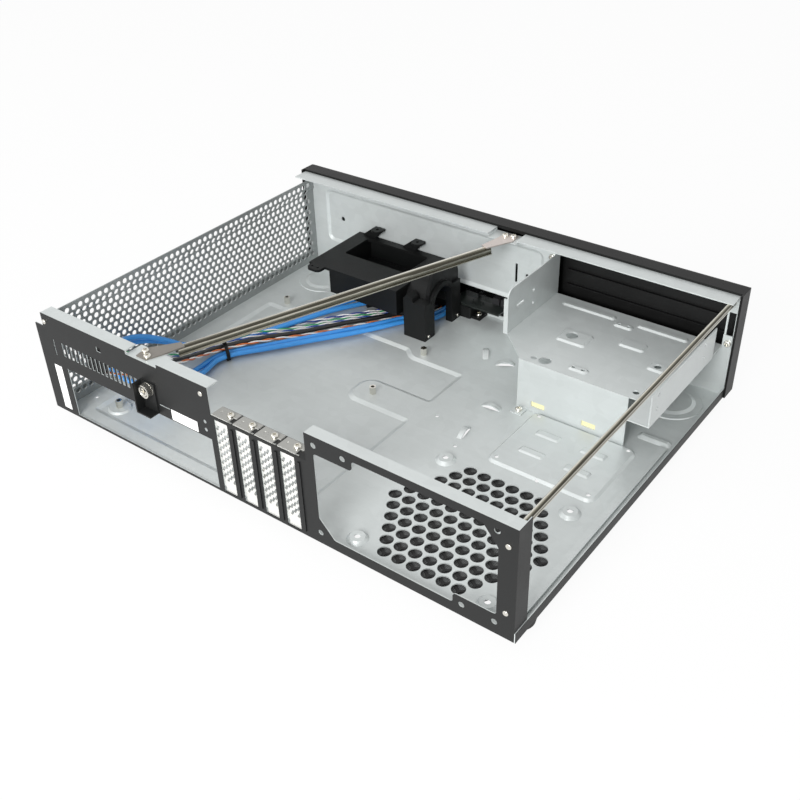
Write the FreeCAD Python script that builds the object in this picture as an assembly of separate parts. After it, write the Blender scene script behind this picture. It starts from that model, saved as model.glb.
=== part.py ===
import FreeCAD, Part
import math
import os

os.makedirs("parts", exist_ok=True)
V = FreeCAD.Vector

# Slim desktop PC chassis, open at the top, in millimetres, +Z up.
# The front bezel faces -Y and the rear panel +Y.
# The origin is at the middle of the footprint, at the feet's soles.

# Overall sizes
case_width = 440.0
chassis_depth = 318.0
chassis_height = 91.0
sheet = 1.0
foot_height = 10.0
side_reveal = 1.5
bezel_depth = 18.0
bezel_rise = 2.0
fit = 0.4
slack = 0.3

# Base pan
pan_flange = 8.0
emboss = 2.0
emboss_run = 3.0
recess_depth = 1.5
recess_run = 6.5
recess_corner = 7.0
recess_from_vent = 28.6
recess_width = 225.0
recess_from_rear = 10.0
recess_length = 216.0
recess_bay_from_vent = 58.0
recess_bay_width = 136.0
recess_bay_length = 8.5
recess_bay_run = 10.0
tongue_length = 63.0
tongue_from_rear = 150.0
tongue_width = 22.0
vent_pitch = 12.0
vent_hole = 10.0
vent_side_count = 6
vent_from_psu = 84.7
vent_from_rear = 69.2
fan_hole_spacing = 105.0
rest_radius = 8.0
rest_rise = 2.5
rest_hole = 4.4
drive_hole_across = 76.6
drive_hole_along = 61.72
drive_hole = 3.4
drive_plate_margin = 6.5
drive_front_margin = 4.2
drive_run = 2.0
drive_from_psu = 68.6
drive_from_rear = 175.5
bridge_length = 17.0
bridge_width = 4.0
bridge_rise = 3.2
small_hole = 3.0
bar_width = 8.0
bar_length = 20.8
bar_rise = 1.0
bar_run = 1.6
bar_spread_along = 24.7
bar_spread_across = 38.3
groove_width = 9.0
groove_length = 27.0
groove_gap = 3.0
# small holes and lanced bridges in the floor, by their distance from the supply side and from the rear
floor_spots = [(174.4, 163.3), (140.9, 139.5), (68.9, 139.0), (419.7, 25.7)]
floor_bridges = [(192.2, 261.0, -58), (169.7, 256.5, 31), (145.3, 197.4, 5), (144.8, 157.5, -83)]

# Board standoffs, on the usual board hole grid
board_from_vent = 46.8
board_from_rear = 27.5
board_across = 157.48
board_near = 132.08
board_far = 203.2
standoff_height = 6.5
standoff_across = 5.0
standoff_thread = 3.0
standoff_pad = 10.0
standoff_small_pad = 6.5

# Feet
foot_radius = 13.0
foot_taper = 1.5
foot_circle = 19.0
foot_ring = 25.0
foot_ring_rise = 0.7
foot_front = 32.5
foot_rear = 27.5
foot_vent_side = 46.8
foot_psu_front = 32.4
foot_psu_rear = 15.9

# Cover rail along the supply side
rail_from_psu = 7.4
rail_width = 6.0
rail_rise = 2.5
rail_start = 16.0
rail_length = 208.0

# Vented side wall
wall_from_vent = 11.3
wall_height = 86.9
joggle_level = 75.0
joggle_run = 2.5
joggle_step = 1.2
perforation = 4.6
perforation_pitch = 6.5
perforation_rows = 12
perforation_row_pitch = 5.53
perforation_margin = 13.0
perforation_front_margin = 5.0
perforation_top = 70.5
upper_row_rise = 11.3
wall_strip_height = 79.0

# Rear panel
io_from_vent = 29.4
io_width = 158.75
io_height = 44.45
io_sill = 2.0
io_section_width = 190.6
rear_flange = 10.0
rear_vent_count = 19
rear_vent_pitch = 4.87
rear_vent_slot = 3.2
rear_vent_height = 12.5
rear_vent_level = 57.5
seat_from_vent = 107.6
seat_width = 33.0
seat_drop = 3.0
seat_depth = 16.0
slit_from_vent = 20.0
slit_width = 1.4
slit_reach = 2.0
hook_from_vent = 76.0
hook_width = 5.0
hook_level = 78.0
hook_height = 4.5
tab_slot_gap = 1.5
tab_slot_width = 11.0
tab_slot_level = 55.0
tab_slot_height = 1.2
io_hole_from_vent = 183.6
io_hole = 3.2
io_hole_levels = (53.0, 60.0)
slot_from_vent = 199.8
slot_pitch = 20.32
slot_count = 4
slot_opening = 12.4
slot_sill = 1.8
slot_shelf = 68.0
slot_shelf_depth = 12.0
post_rib = 2.0
post_rib_rise = 0.8
psu_section = 162.4
psu_hole_edge = 17.1
psu_hole_span = 138.0
psu_hole_inner = 24.0
psu_hole_level = 9.55
psu_hole_rise = 74.0
psu_hole = 4.5
psu_return = 13.5
psu_flange = 8.8
psu_lip = 1.5
psu_lug_end = 7.8
psu_lug_drop = 6.5
psu_low_chamfer = (12.5, 14.0)
psu_high_chamfer = (11.0, 14.0)
psu_opening_right = 1.3
psu_opening_left = 0.6
psu_opening_round = 2.5
# rivets, by their distance from the supply side and their level
rivet_spots = [(9.0, 22.0), (9.0, 76.0), (425.5, 84.0), (256.0, 84.0)]

# Slot covers
cover_width = 18.4
cover_sheet = 0.9
cover_tab = 11.0
cover_foot = 1.3
cover_tongue = 10.5
cover_tongue_height = 5.0
cover_hole_rows = 8
cover_hole_columns = 4
cover_hole_rise = 6.0
cover_hole_step = 3.0
cover_hole_first = 14.0
cover_hole = 1.9
cover_hole_length = 4.6
cover_hole_slant = 26.0
cover_notch = 2.6
cover_notch_depth = 6.0
cover_dimple = 1.8
cover_dimple_depth = 0.4
cover_dimple_from_edge = 4.0
cover_screw_from_edge = 5.5
cover_screw_from_panel = 6.0

# Front wall
front_flange = 14.0
gap_from_vent = 220.8
gap_width = 28.0
bay_width = 147.0
bay_from_psu = 10.0
bay_level = 44.0
bay_height = 42.0
port_from_vent = 181.6
port_width = 53.0
port_sill = 4.5
port_height = 21.0
panel_emboss = 1.5
panel_from_vent = 27.2
panel_width = 241.0
panel_level = 26.0
panel_height = 54.0
panel_hole_level = 52.0
panel_hole_vent = (46.3, 4.4)
panel_hole_psu = (187.8, 3.6)
panel_slot_from_psu = 197.7
panel_slot_width = 2.3
panel_slot_level = 43.0
panel_slot_height = 18.0
notch_from_psu = 3.0
notch_width = 5.5
notch_level = 52.0
notch_height = 24.0

# Drive tray
tray_level = 46.0
tray_depth = 106.0
tray_left_depth = 81.0
tray_right_depth = 132.0
tray_left_height = 38.5
tray_right_height = 26.0
apron_from_psu = 37.0
apron_width = 93.4
tray_flange = 13.0
tray_foot = 10.0
window_width = 12.0
window_height = 4.8
window_level = 5.8
window_first = 13.0
window_step = 44.4
pad_thickness = 1.5
bay_hole_level = 10.0
bay_hole_step = 12.0
bay_hole_from_front = 42.0
bay_hole_along = 79.25
bay_hole = 3.2
tray_corner = 7.0
tray_lip = 4.0
tray_lip_drop = 8.0
tray_ear = 6.0
tray_wall_start = 22.0
tray_screw_inset = 6.0
tray_flange_screw = 4.2
tray_flange_rise = 5.0
press_rise = 1.2
press_run = 1.8
press_round = 1.4
# raised fields on the deck: from its inner edge, width, from the front wall, depth
tray_fields = [(12.0, 49.5, 9.0, 7.0), (80.0, 44.0, 8.0, 7.0), (63.0, 17.0, 15.5, 7.5), (80.0, 22.0, 35.0, 12.5),
               (35.0, 26.0, 47.0, 20.0), (113.0, 15.0, 53.0, 13.0), (64.0, 16.5, 91.5, 7.5)]
# holes in the deck: from its inner edge, from the front wall, radius
tray_holes = [(45.0, 56.3, 5.0), (45.0, 98.6, 5.0), (36.0, 99.7, 2.4), (120.2, 59.5, 3.0), (121.5, 98.0, 2.6),
              (68.0, 95.5, 1.5), (76.0, 95.5, 1.5), (67.5, 19.5, 1.4), (75.5, 19.5, 1.4)]
tray_slot_from_front = 57.0
tray_slot_length = 11.0
tray_slot_level = 18.0
tray_slot_height = 2.5

# Braces
brace_width = 6.8
brace_height = 6.0
brace_round = 2.4
brace_lip = 1.1
brace_lip_sheet = 0.8
brace_rear_from_vent = 131.6
brace_rear_ahead = 28.0
brace_front_from_vent = 231.6
brace_front_behind = 30.0
plate_thickness = 1.0
plate_lap = 5.0
side_brace_width = 3.6
side_brace_height = 4.2
side_brace_round = 1.4
side_brace_from_psu = 3.9
brace_end_gap = 3.0
# corners and screws of the end plates: from the seat's vented end, and from the panel's or wall's face
rear_plate_corners = [(24.0, 15.0), (19.0, 3.0), (9.0, 3.0), (7.5, 13.5)]
rear_plate_screws = [(10.5, 10.5), (17.0, 6.5)]
front_plate_corners = [(23.5, 14.0), (23.0, 2.5), (10.0, 2.5), (9.5, 14.0)]
front_plate_screws = [(13.0, 8.0), (20.0, 6.0)]

# Screws
screw_head = 5.6
screw_head_rise = 2.0
screw_thread = 3.0
head_round_share = 0.6
head_recess_share = 0.28
screw_length = 4.0
recess_cross = 0.9
thumb_head = 11.0
thumb_rise = 4.5
rivet_head = 4.0
rivet_rise = 1.0

# Moulded bracket
bracket_from_vent = 67.5
bracket_width = 99.1
bracket_depth = 74.0
bracket_level = 45.0
bracket_wall = 2.5
bracket_box_height = 21.5
bracket_box_inset = 12.5
bracket_box_step = 11.0
bracket_box_step_depth = 45.0
bracket_window_width = 70.0
bracket_window_depth = 35.0
bracket_window_edge = 16.0
bracket_window_front = 7.5
ear_first = 6.0
ear_root = 15.5
ear_tip = 11.0
ear_lean = 16.2
ear_rise = 11.0
ear_step = 46.5
ear_sheet = 2.0
ear_reach = 5.0
ear_hole = 3.2
side_ear_width = 15.0
side_ear_from_vent = 71.0
side_ear_reach = 9.0
side_ear_holes = (4.0, 10.5)
side_ear_hole = 2.4
arch_width = 27.4
arch_span = 36.0
arch_height = 47.0
arch_wall = 4.5
arch_from_front = 25.0
arch_leg_width = 23.0
arch_leg_depth = 10.0
arch_leg_height = 35.5
arch_leg_shoulder = [(0.0, 37.5), (4.5, 42.5), (9.5, 38.5), (10.5, 35.5)]
hood_from_rim = 2.5
hood_thickness = 3.5
hood_height = 59.5
hood_reach = 8.6
hood_corner = 14.0
hood_slope = 6.0
hood_shoulder = 41.0
hood_post_height = 39.0
door_width = 23.0
door_height = 30.0
peg_head = 3.0
peg_rise = 1.0
peg_length = 3.0
peg_rise_from_floor = 3.5

# Front connector block
block_from_vent = 154.6
block_width = 50.0
block_depth = 15.0
block_height = 11.0
block_tab = 9.0
board_sheet = 1.6
board_width = 50.0
board_start = 183.1
board_reach = 14.0
usb_width = 13.1
usb_height = 5.7
usb_wall = 0.6
usb_first = 6.0
usb_step = 16.0
usb_tongue = 1.8
jack_radius = 3.2
jack_bore = 1.8
jack_first = 38.5
jack_step = 8.0
socket_inset = 0.8
pin_side = 0.7
pin_rise = 3.0
pin_count = 5
pin_step = 2.54
pin_from_wall = 5.0
board_margin = 2.0
socket_depth = 3.0
tongue_margin = 1.2
tongue_inset = 1.0
jack_nose = 12.0
jack_depth = 15.0

# Front bezel and bay cover
bezel_wall = 3.0
bezel_round = 6.0
bezel_return = 3.0
bezel_return_gap = 0.1
cover_lip = 3.0
cover_rib_count = 3
cover_rib = 0.9
cover_rib_depth = 2.5

# Buttons, lights and the switch board behind the bezel
button_from_vent = 60.0
button_level = 52.0
button_radius = 8.0
button_collar = 1.8
button_collar_thickness = 1.5
button_travel = 1.5
button_proud = 1.0
reset_radius = 3.0
reset_step = 24.0
light_radius = 1.5
light_first = 40.0
light_step = 10.0
light_head = 3.0
switch_side = 6.0
switch_body = 3.0
switch_plunger = 1.6
plunger_length = 1.0
stem_length = 3.5
switch_board_thickness = 1.6
switch_board_margin = 18.0
switch_board_half_height = 12.0
boss_radius = 3.0

# Vent filter under the pan
filter_reach = 76.0
filter_frame = 6.0
filter_rise = 2.5
filter_sheet = 0.6
filter_rib = 2.0
filter_rib_drop = 0.8

# Lock bracket and blank stickers on the rear face
lock_from_vent = 120.6
lock_width = 14.5
lock_level = 47.5
lock_height = 25.0
lock_lip = 9.0
lock_lip_sheet = 1.2
lock_screw_rise = 18.75
sticker = 0.3
side_sticker_from_vent = 14.0
side_sticker_width = 8.6
side_sticker_level = 4.5
side_sticker_height = 41.0
rear_sticker_from_vent = 149.0
rear_sticker_width = 26.5
rear_sticker_level = 47.5
rear_sticker_height = 9.0

# Cords, their plugs and the tie
usb_cable = 4.5
sound_cable = 4.0
lead = 2.6
bend_share = 0.45
usb_plug_size = (15.0, 9.0, 6.0)
sound_plug_size = (14.0, 10.0, 5.0)
lead_plug_size = (14.0, 5.2, 2.6)
tie_centre = V(159.4, 29.8, 0)
tie_angle = 150.0
tie_band = 3.0
tie_thickness = 1.0
tie_head = 5.0
tie_outline = [(-15.6, 10.9), (11.6, 10.9), (11.6, 17.0), (7.2, 21.7), (-8.2, 21.8), (-15.6, 15.5)]

# Planes worked out from the sizes
half_width = case_width / 2
rear_y = (chassis_depth + bezel_depth + button_proud + lock_lip) / 2 - lock_lip
rear_in = rear_y - sheet
front_y = rear_y - chassis_depth
front_in = front_y + sheet
bezel_y = front_y - bezel_depth
pan_z = foot_height
floor_z = pan_z + sheet
top_z = pan_z + chassis_height
bezel_top = top_z + bezel_rise
vent_edge = half_width - side_reveal
psu_edge = -half_width + side_reveal
wall_x = half_width - wall_from_vent
psu_in = psu_edge + sheet


# Places measured inward from the vented side and from the supply side, ahead of the rear face,
# behind the front wall's face and above the pan's underside

def from_vent(distance):
    return half_width - distance


def from_psu(distance):
    return -half_width + distance


def ahead(distance):
    return rear_y - distance


def behind(distance):
    return front_y + distance


def level(height):
    return pan_z + height


# Small tools for sheet and block shapes

def block(xs, ys, zs):
    low = V(min(xs), min(ys), min(zs))
    return Part.makeBox(max(xs) - low.x, max(ys) - low.y, max(zs) - low.z, low)


def disc(centre, radius, length, direction):
    return Part.makeCylinder(radius, length, centre, direction)


def rounded_wire(points, radii):
    edges = []
    count = len(points)
    corners = []
    for i, corner in enumerate(points):
        before = points[i - 1] - corner
        after = points[(i + 1) % count] - corner
        half = before.getAngle(after) / 2
        cut = radii[i] / math.tan(half)
        start = corner + before.normalize() * cut
        end = corner + after.normalize() * cut
        bisector = (before + after).normalize()
        middle = corner + bisector * (radii[i] / math.sin(half) - radii[i])
        corners.append((start, middle, end))
    for i, (start, middle, end) in enumerate(corners):
        edges.append(Part.Arc(start, middle, end).toShape())
        edges.append(Part.LineSegment(end, corners[(i + 1) % count][0]).toShape())
    return Part.Wire(edges)


def plate(points, radius, reach):
    wire = rounded_wire(points, [radius] * len(points))
    return Part.Face(wire).extrude(reach)


def polygon_plate(points, reach):
    return Part.Face(Part.makePolygon(points + [points[0]])).extrude(reach)


def inset(points, distance):
    # each edge of a polygon, seen from above, moved towards its inside
    area = sum(a.x * b.y - b.x * a.y for a, b in zip(points, points[1:] + points[:1]))
    side = 1 if area > 0 else -1
    moved = []
    for i, corner in enumerate(points):
        first = (corner - points[i - 1]).normalize()
        second = (points[(i + 1) % len(points)] - corner).normalize()
        normal_a = V(-first.y, first.x, 0) * side
        normal_b = V(-second.y, second.x, 0) * side
        bisector = normal_a + normal_b
        moved.append(corner + bisector * (distance / (1 + normal_a.dot(normal_b))))
    return moved, side


def tapered(points, radius, run, height):
    # a raised or sunk field with sloping sides, from its outline to its inset outline
    inner, side = inset(points, run)
    inner_radii = []
    for i, corner in enumerate(points):
        first = corner - points[i - 1]
        second = points[(i + 1) % len(points)] - corner
        convex = (first.x * second.y - first.y * second.x) * side > 0
        inner_radii.append(radius - run if convex else radius + run)
    low = rounded_wire(points, [radius] * len(points))
    high = rounded_wire([p + V(0, 0, height) for p in inner], inner_radii)
    return Part.makeLoft([low, high], True, True)


def rectangle(xs, ys, z):
    return [V(min(xs), min(ys), z), V(max(xs), min(ys), z), V(max(xs), max(ys), z), V(min(xs), max(ys), z)]


def pan_head_screw(seat, direction, head=screw_head, rise=screw_head_rise, length=screw_length):
    # a round head with a cross recess, and a plain shank below the seat
    top = disc(seat, head / 2, rise, direction)
    top = top.makeFillet(rise * head_round_share, [edge_at(top, seat + direction * rise)])
    across = V(0, 0, 1) if direction.z == 0 else V(1, 0, 0)
    other = direction.cross(across)
    arm = head * head_recess_share
    for line, side in ((across, other), (other, across)):
        corner = seat + direction * (rise - recess_cross)
        points = [corner + line * a + side * b for a, b in
                  ((-arm, -arm / 4), (arm, -arm / 4), (arm, arm / 4), (-arm, arm / 4))]
        top = top.cut(polygon_plate(points, direction * (recess_cross + slack)))
    return top.fuse(disc(seat, screw_thread / 2 - slack, length, direction * -1))


def edge_at(solid, centre):
    # the round edge whose middle is nearest to a point
    return min(solid.Edges, key=lambda edge: (edge.CenterOfMass - centre).Length)


def group(shapes):
    return Part.makeCompound(shapes)


# Base pan: one folded sheet, with the vent field, the sunk board area and its embosses

board_holes = [(0, 0), (0, board_near), (0, board_far), (board_across, 0), (board_across, board_near),
               (board_across, board_far)]
standoff_places = [V(from_vent(board_from_vent + a), ahead(board_from_rear + b), 0) for a, b in board_holes]
sunk_standoffs = [standoff_places[i] for i in (0, 1, 3)]
foot_places = [V(from_vent(foot_vent_side), behind(foot_front), 0),
               V(from_psu(foot_psu_front), behind(foot_front), 0),
               V(from_vent(foot_vent_side), ahead(foot_rear), 0),
               V(from_psu(foot_psu_rear), ahead(foot_rear), 0)]
vent_centre = V(from_psu(vent_from_psu), ahead(vent_from_rear), 0)
drive_centre = V(from_psu(drive_from_psu), ahead(drive_from_rear), 0)


def vent_places(side_count):
    # a hexagonal field of places on a triangular grid
    places = []
    row_pitch = vent_pitch * math.sqrt(3) / 2
    for row in range(1 - side_count, side_count):
        count = 2 * side_count - 1 - abs(row)
        for i in range(count):
            places.append(vent_centre + V((i - (count - 1) / 2) * vent_pitch, row * row_pitch, 0))
    return places


def hexagon(centre, reach, turn, z):
    angles = [math.radians(turn + step) for step in range(0, 360, 60)]
    return [V(centre.x + reach * math.cos(a), centre.y + reach * math.sin(a), z) for a in angles]


def corners_about(centre, across, along):
    return [centre + V(a * across / 2, b * along / 2, 0) for a in (-1, 1) for b in (-1, 1)]


def recess_outline(z):
    left = from_vent(recess_from_vent)
    right = from_vent(recess_from_vent + recess_width)
    rear = ahead(recess_from_rear)
    fore = ahead(recess_from_rear + recess_length)
    tongue_rear = ahead(tongue_from_rear)
    tongue_fore = ahead(tongue_from_rear + tongue_width)
    tip = right + tongue_length
    bay_left = from_vent(recess_bay_from_vent)
    bay_right = from_vent(recess_bay_from_vent + recess_bay_width)
    bay_fore = fore - recess_bay_length
    slant = recess_bay_run / 2
    return [V(left, rear, z), V(right, rear, z), V(right, tongue_rear, z), V(tip, tongue_rear, z),
            V(tip, tongue_fore, z), V(right, tongue_fore, z), V(right, fore, z), V(bay_right - slant, fore, z),
            V(bay_right + slant, bay_fore, z), V(bay_left - slant, bay_fore, z), V(bay_left + slant, fore, z),
            V(left, fore, z)]


def bridge(centre, angle, z):
    # a narrow strip lanced free along its sides and pushed up into an arch
    half = bridge_length / 2
    low = [V(-half, -bridge_width / 2, z - sheet), V(0, -bridge_width / 2, z - sheet + bridge_rise),
           V(half, -bridge_width / 2, z - sheet)]
    high = [p + V(0, 0, sheet) for p in low]
    wire = Part.Wire([Part.Arc(*low).toShape(), Part.LineSegment(low[2], high[2]).toShape(),
                      Part.Arc(*reversed(high)).toShape(), Part.LineSegment(high[0], low[0]).toShape()])
    strip = Part.Face(wire).extrude(V(0, bridge_width, 0))
    strip.rotate(V(0, 0, 0), V(0, 0, 1), angle)
    strip.translate(V(centre.x, centre.y, 0))
    window = block((-half + sheet, half - sheet), (-bridge_width / 2 - slack, bridge_width / 2 + slack),
                   (z - 2 * sheet, z + sheet))
    window.rotate(V(0, 0, 0), V(0, 0, 1), angle)
    window.translate(V(centre.x, centre.y, 0))
    return strip, window


def base_pan():
    floor = block((psu_edge, vent_edge), (rear_in, front_in), (pan_z, floor_z))
    sides = [block((psu_edge, psu_in), (rear_y, front_y), (pan_z, pan_z + pan_flange)),
             block((vent_edge, vent_edge - sheet), (rear_in, front_y), (pan_z, pan_z + pan_flange))]
    sunk_z = pan_z - recess_depth
    sunk = tapered(recess_outline(floor_z), recess_corner, recess_run, -(sheet + recess_depth))
    hollow = sunk.copy()
    hollow.translate(V(0, 0, sheet))
    added = []
    removed = []

    def raise_field(low, high):
        high.translate(V(0, 0, sheet))
        added.append(high)
        removed.append(low)

    def raise_disc(centre, z, radius, rise, run):
        raise_field(Part.makeCone(radius, radius - run, rise, V(centre.x, centre.y, z)),
                    Part.makeCone(radius, radius - run, rise, V(centre.x, centre.y, z)))

    for place in corners_about(vent_centre, fan_hole_spacing, fan_hole_spacing):
        raise_disc(place, pan_z, rest_radius, rest_rise, rest_rise)
        removed.append(disc(V(place.x, place.y, pan_z), rest_hole / 2, rest_rise + 2 * sheet, V(0, 0, 1)))
    for place in foot_places[:2]:
        raise_disc(place, pan_z, foot_ring, foot_ring_rise, foot_ring_rise)
        raise_disc(place, pan_z + foot_ring_rise, foot_circle, emboss - foot_ring_rise, emboss_run)
    for place, radius in zip(sunk_standoffs, (standoff_pad, standoff_small_pad, standoff_small_pad)):
        raise_disc(place, sunk_z, radius, recess_depth, recess_depth)

    outline = rectangle((drive_centre.x - drive_hole_across / 2 - drive_plate_margin,
                         drive_centre.x + drive_hole_across / 2 + drive_plate_margin),
                        (drive_centre.y - drive_hole_along / 2 - drive_front_margin,
                         drive_centre.y + drive_hole_along / 2 + drive_plate_margin), pan_z)
    raise_field(tapered(outline, recess_corner, drive_run, emboss),
                tapered(outline, recess_corner, drive_run, emboss))
    drive_z = pan_z + emboss
    for share in (-1, 1):
        bar_y = drive_centre.y + share * bar_spread_along / 2
        for side in (-1, 1):
            bar_x = drive_centre.x + side * bar_spread_across / 2
            bar = rectangle((bar_x - bar_length / 2, bar_x + bar_length / 2),
                            (bar_y - bar_width / 2, bar_y + bar_width / 2), drive_z)
            raise_field(tapered(bar, emboss, bar_run, bar_rise), tapered(bar, emboss, bar_run, bar_rise))
    for place in corners_about(drive_centre, drive_hole_across, drive_hole_along):
        removed.append(disc(V(place.x, place.y, pan_z), drive_hole / 2, emboss + 2 * sheet, V(0, 0, 1)))

    groove_y = ahead(rail_start + rail_length + groove_gap)
    groove = rectangle((from_psu(rail_from_psu), from_psu(rail_from_psu) + groove_length),
                       (groove_y - groove_width, groove_y), pan_z)
    raise_field(tapered(groove, emboss_run + slack, emboss_run, emboss),
                tapered(groove, emboss_run + slack, emboss_run, emboss))

    for place in vent_places(vent_side_count):
        removed.append(disc(V(place.x, place.y, pan_z - sheet), vent_hole / 2, 3 * sheet, V(0, 0, 1)))
    for place in standoff_places:
        removed.append(disc(V(place.x, place.y, pan_z - 2 * recess_depth), standoff_thread / 2,
                            4 * recess_depth + sheet, V(0, 0, 1)))
    for across, along in floor_spots:
        place = V(from_psu(across), ahead(along), pan_z - sheet)
        removed.append(disc(place, small_hole / 2, 3 * sheet, V(0, 0, 1)))
    strips = []
    for across, along, angle in floor_bridges:
        strip, window = bridge(V(from_psu(across), ahead(along), 0), angle, floor_z)
        strips.append(strip)
        removed.append(window)
    pan = floor.fuse(sides + [sunk]).cut(hollow)
    pan = pan.fuse(added).cut(removed)
    return pan.fuse(strips).removeSplitter()


def cover_rail():
    # a folded strip that guides the cover's lower edge
    left = from_psu(rail_from_psu)
    ys = (ahead(rail_start), ahead(rail_start + rail_length))
    rise = floor_z + rail_rise
    top = block((left, left + rail_width), ys, (rise - sheet, rise))
    leg = block((left + rail_width - sheet, left + rail_width), ys, (floor_z, rise))
    return top.fuse(leg).removeSplitter()


def standoffs():
    pieces = []
    for place in standoff_places:
        radius = standoff_across / math.sqrt(3)
        nut = polygon_plate(hexagon(place, radius, 0, floor_z), V(0, 0, standoff_height))
        bore = disc(V(place.x, place.y, floor_z + sheet), standoff_thread / 2, standoff_height, V(0, 0, 1))
        pieces.append(nut.cut(bore))
    return group(pieces)


def rubber_feet():
    seats = [pan_z + emboss, pan_z + emboss, pan_z - recess_depth, pan_z]
    shoulder = foot_height - recess_depth
    feet = []
    for place, seat in zip(foot_places, seats):
        foot = Part.makeCone(foot_radius - foot_taper, foot_radius, shoulder, V(place.x, place.y, 0))
        if seat > shoulder:
            foot = foot.fuse(disc(V(place.x, place.y, shoulder), foot_radius, seat - shoulder, V(0, 0, 1)))
        dimple = Part.makeCone(foot_radius / 3, foot_radius / 4, foot_taper, V(place.x, place.y, 0))
        feet.append(foot.removeSplitter().cut(dimple))
    return group(feet)


def vent_filter():
    # a hexagonal tray held under the pan: a fine sheet, and ribs that meet below each vent hole
    low = pan_z - filter_rise
    tray = polygon_plate(hexagon(vent_centre, filter_reach, 0, low), V(0, 0, filter_rise))
    inner_reach = filter_reach - filter_frame
    inner = polygon_plate(hexagon(vent_centre, inner_reach, 0, low + filter_sheet), V(0, 0, filter_rise))
    well = inner.copy()
    well.translate(V(0, 0, filter_rise - filter_sheet - filter_rib_drop))
    cell_reach = (vent_pitch - filter_rib) / math.sqrt(3)
    drop = V(0, vent_pitch / math.sqrt(3), 0)
    cells = [polygon_plate(hexagon(place - drop, cell_reach, 90, low + filter_sheet), V(0, 0, filter_rise))
             for place in vent_places(vent_side_count + 1)]
    return tray.cut(well).cut(group(cells).common(inner)).removeSplitter()


# Vented side wall: a perforated sheet with a joggled upper edge and a flange turned out at the rear

def vented_side_wall():
    inner = [(wall_x, floor_z), (wall_x, level(joggle_level)),
             (wall_x - joggle_step, level(joggle_level + joggle_run)), (wall_x - joggle_step, level(wall_height))]
    outer = [(x + sheet, z) for x, z in reversed(inner)]
    outline = [V(x, rear_in, z) for x, z in inner + outer]
    wall = polygon_plate(outline, V(0, front_in - rear_in, 0))
    strip = block((wall_x, vent_edge), (rear_y, rear_in), (pan_z, level(wall_strip_height)))
    holes = []
    columns = int((chassis_depth - perforation_margin - perforation_front_margin) / perforation_pitch)
    row_levels = [perforation_top - row * perforation_row_pitch for row in range(perforation_rows)]
    row_levels += [perforation_top + upper_row_rise / 2, perforation_top + upper_row_rise]
    for row, height in enumerate(row_levels):
        for i in range(columns):
            y = ahead(perforation_margin + (i + (row % 2) / 2) * perforation_pitch)
            holes.append(disc(V(wall_x - 2 * joggle_step, y, level(height)), perforation / 2,
                              3 * joggle_step + 2 * sheet, V(1, 0, 0)))
    return wall.cut(group(holes)).fuse(strip).removeSplitter()


# Rear panel: a folded sheet in sections, with the openings for the board, the cards and the supply

psu_holes = [(psu_hole_edge, 0), (psu_hole_edge + psu_hole_inner, 0), (psu_hole_edge + psu_hole_span, 0),
             (psu_hole_edge, psu_hole_rise), (psu_hole_edge + psu_hole_span - psu_hole_inner, psu_hole_rise),
             (psu_hole_edge + psu_hole_span, psu_hole_rise)]
slot_centres = [from_vent(slot_from_vent + i * slot_pitch) for i in range(slot_count)]
shelf_left = from_vent(io_section_width)
shelf_right = from_psu(psu_section)


def psu_opening():
    right = from_psu(psu_hole_edge - psu_opening_right)
    left = from_psu(psu_hole_edge + psu_hole_span + psu_opening_left)
    low = level(psu_hole_level)
    high = low + psu_hole_rise
    lug = psu_hole_inner + psu_lug_end
    bottom = low - psu_lip
    top = high + psu_lip
    return [(left, bottom + psu_low_chamfer[1]), (left, high - psu_lug_drop), (left - lug, high - psu_lug_drop),
            (left - lug, top), (right + psu_high_chamfer[0], top), (right, top - psu_high_chamfer[1]),
            (right, low + psu_lug_drop), (right + lug, low + psu_lug_drop), (right + lug, bottom),
            (left - psu_low_chamfer[0], bottom)]


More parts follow.
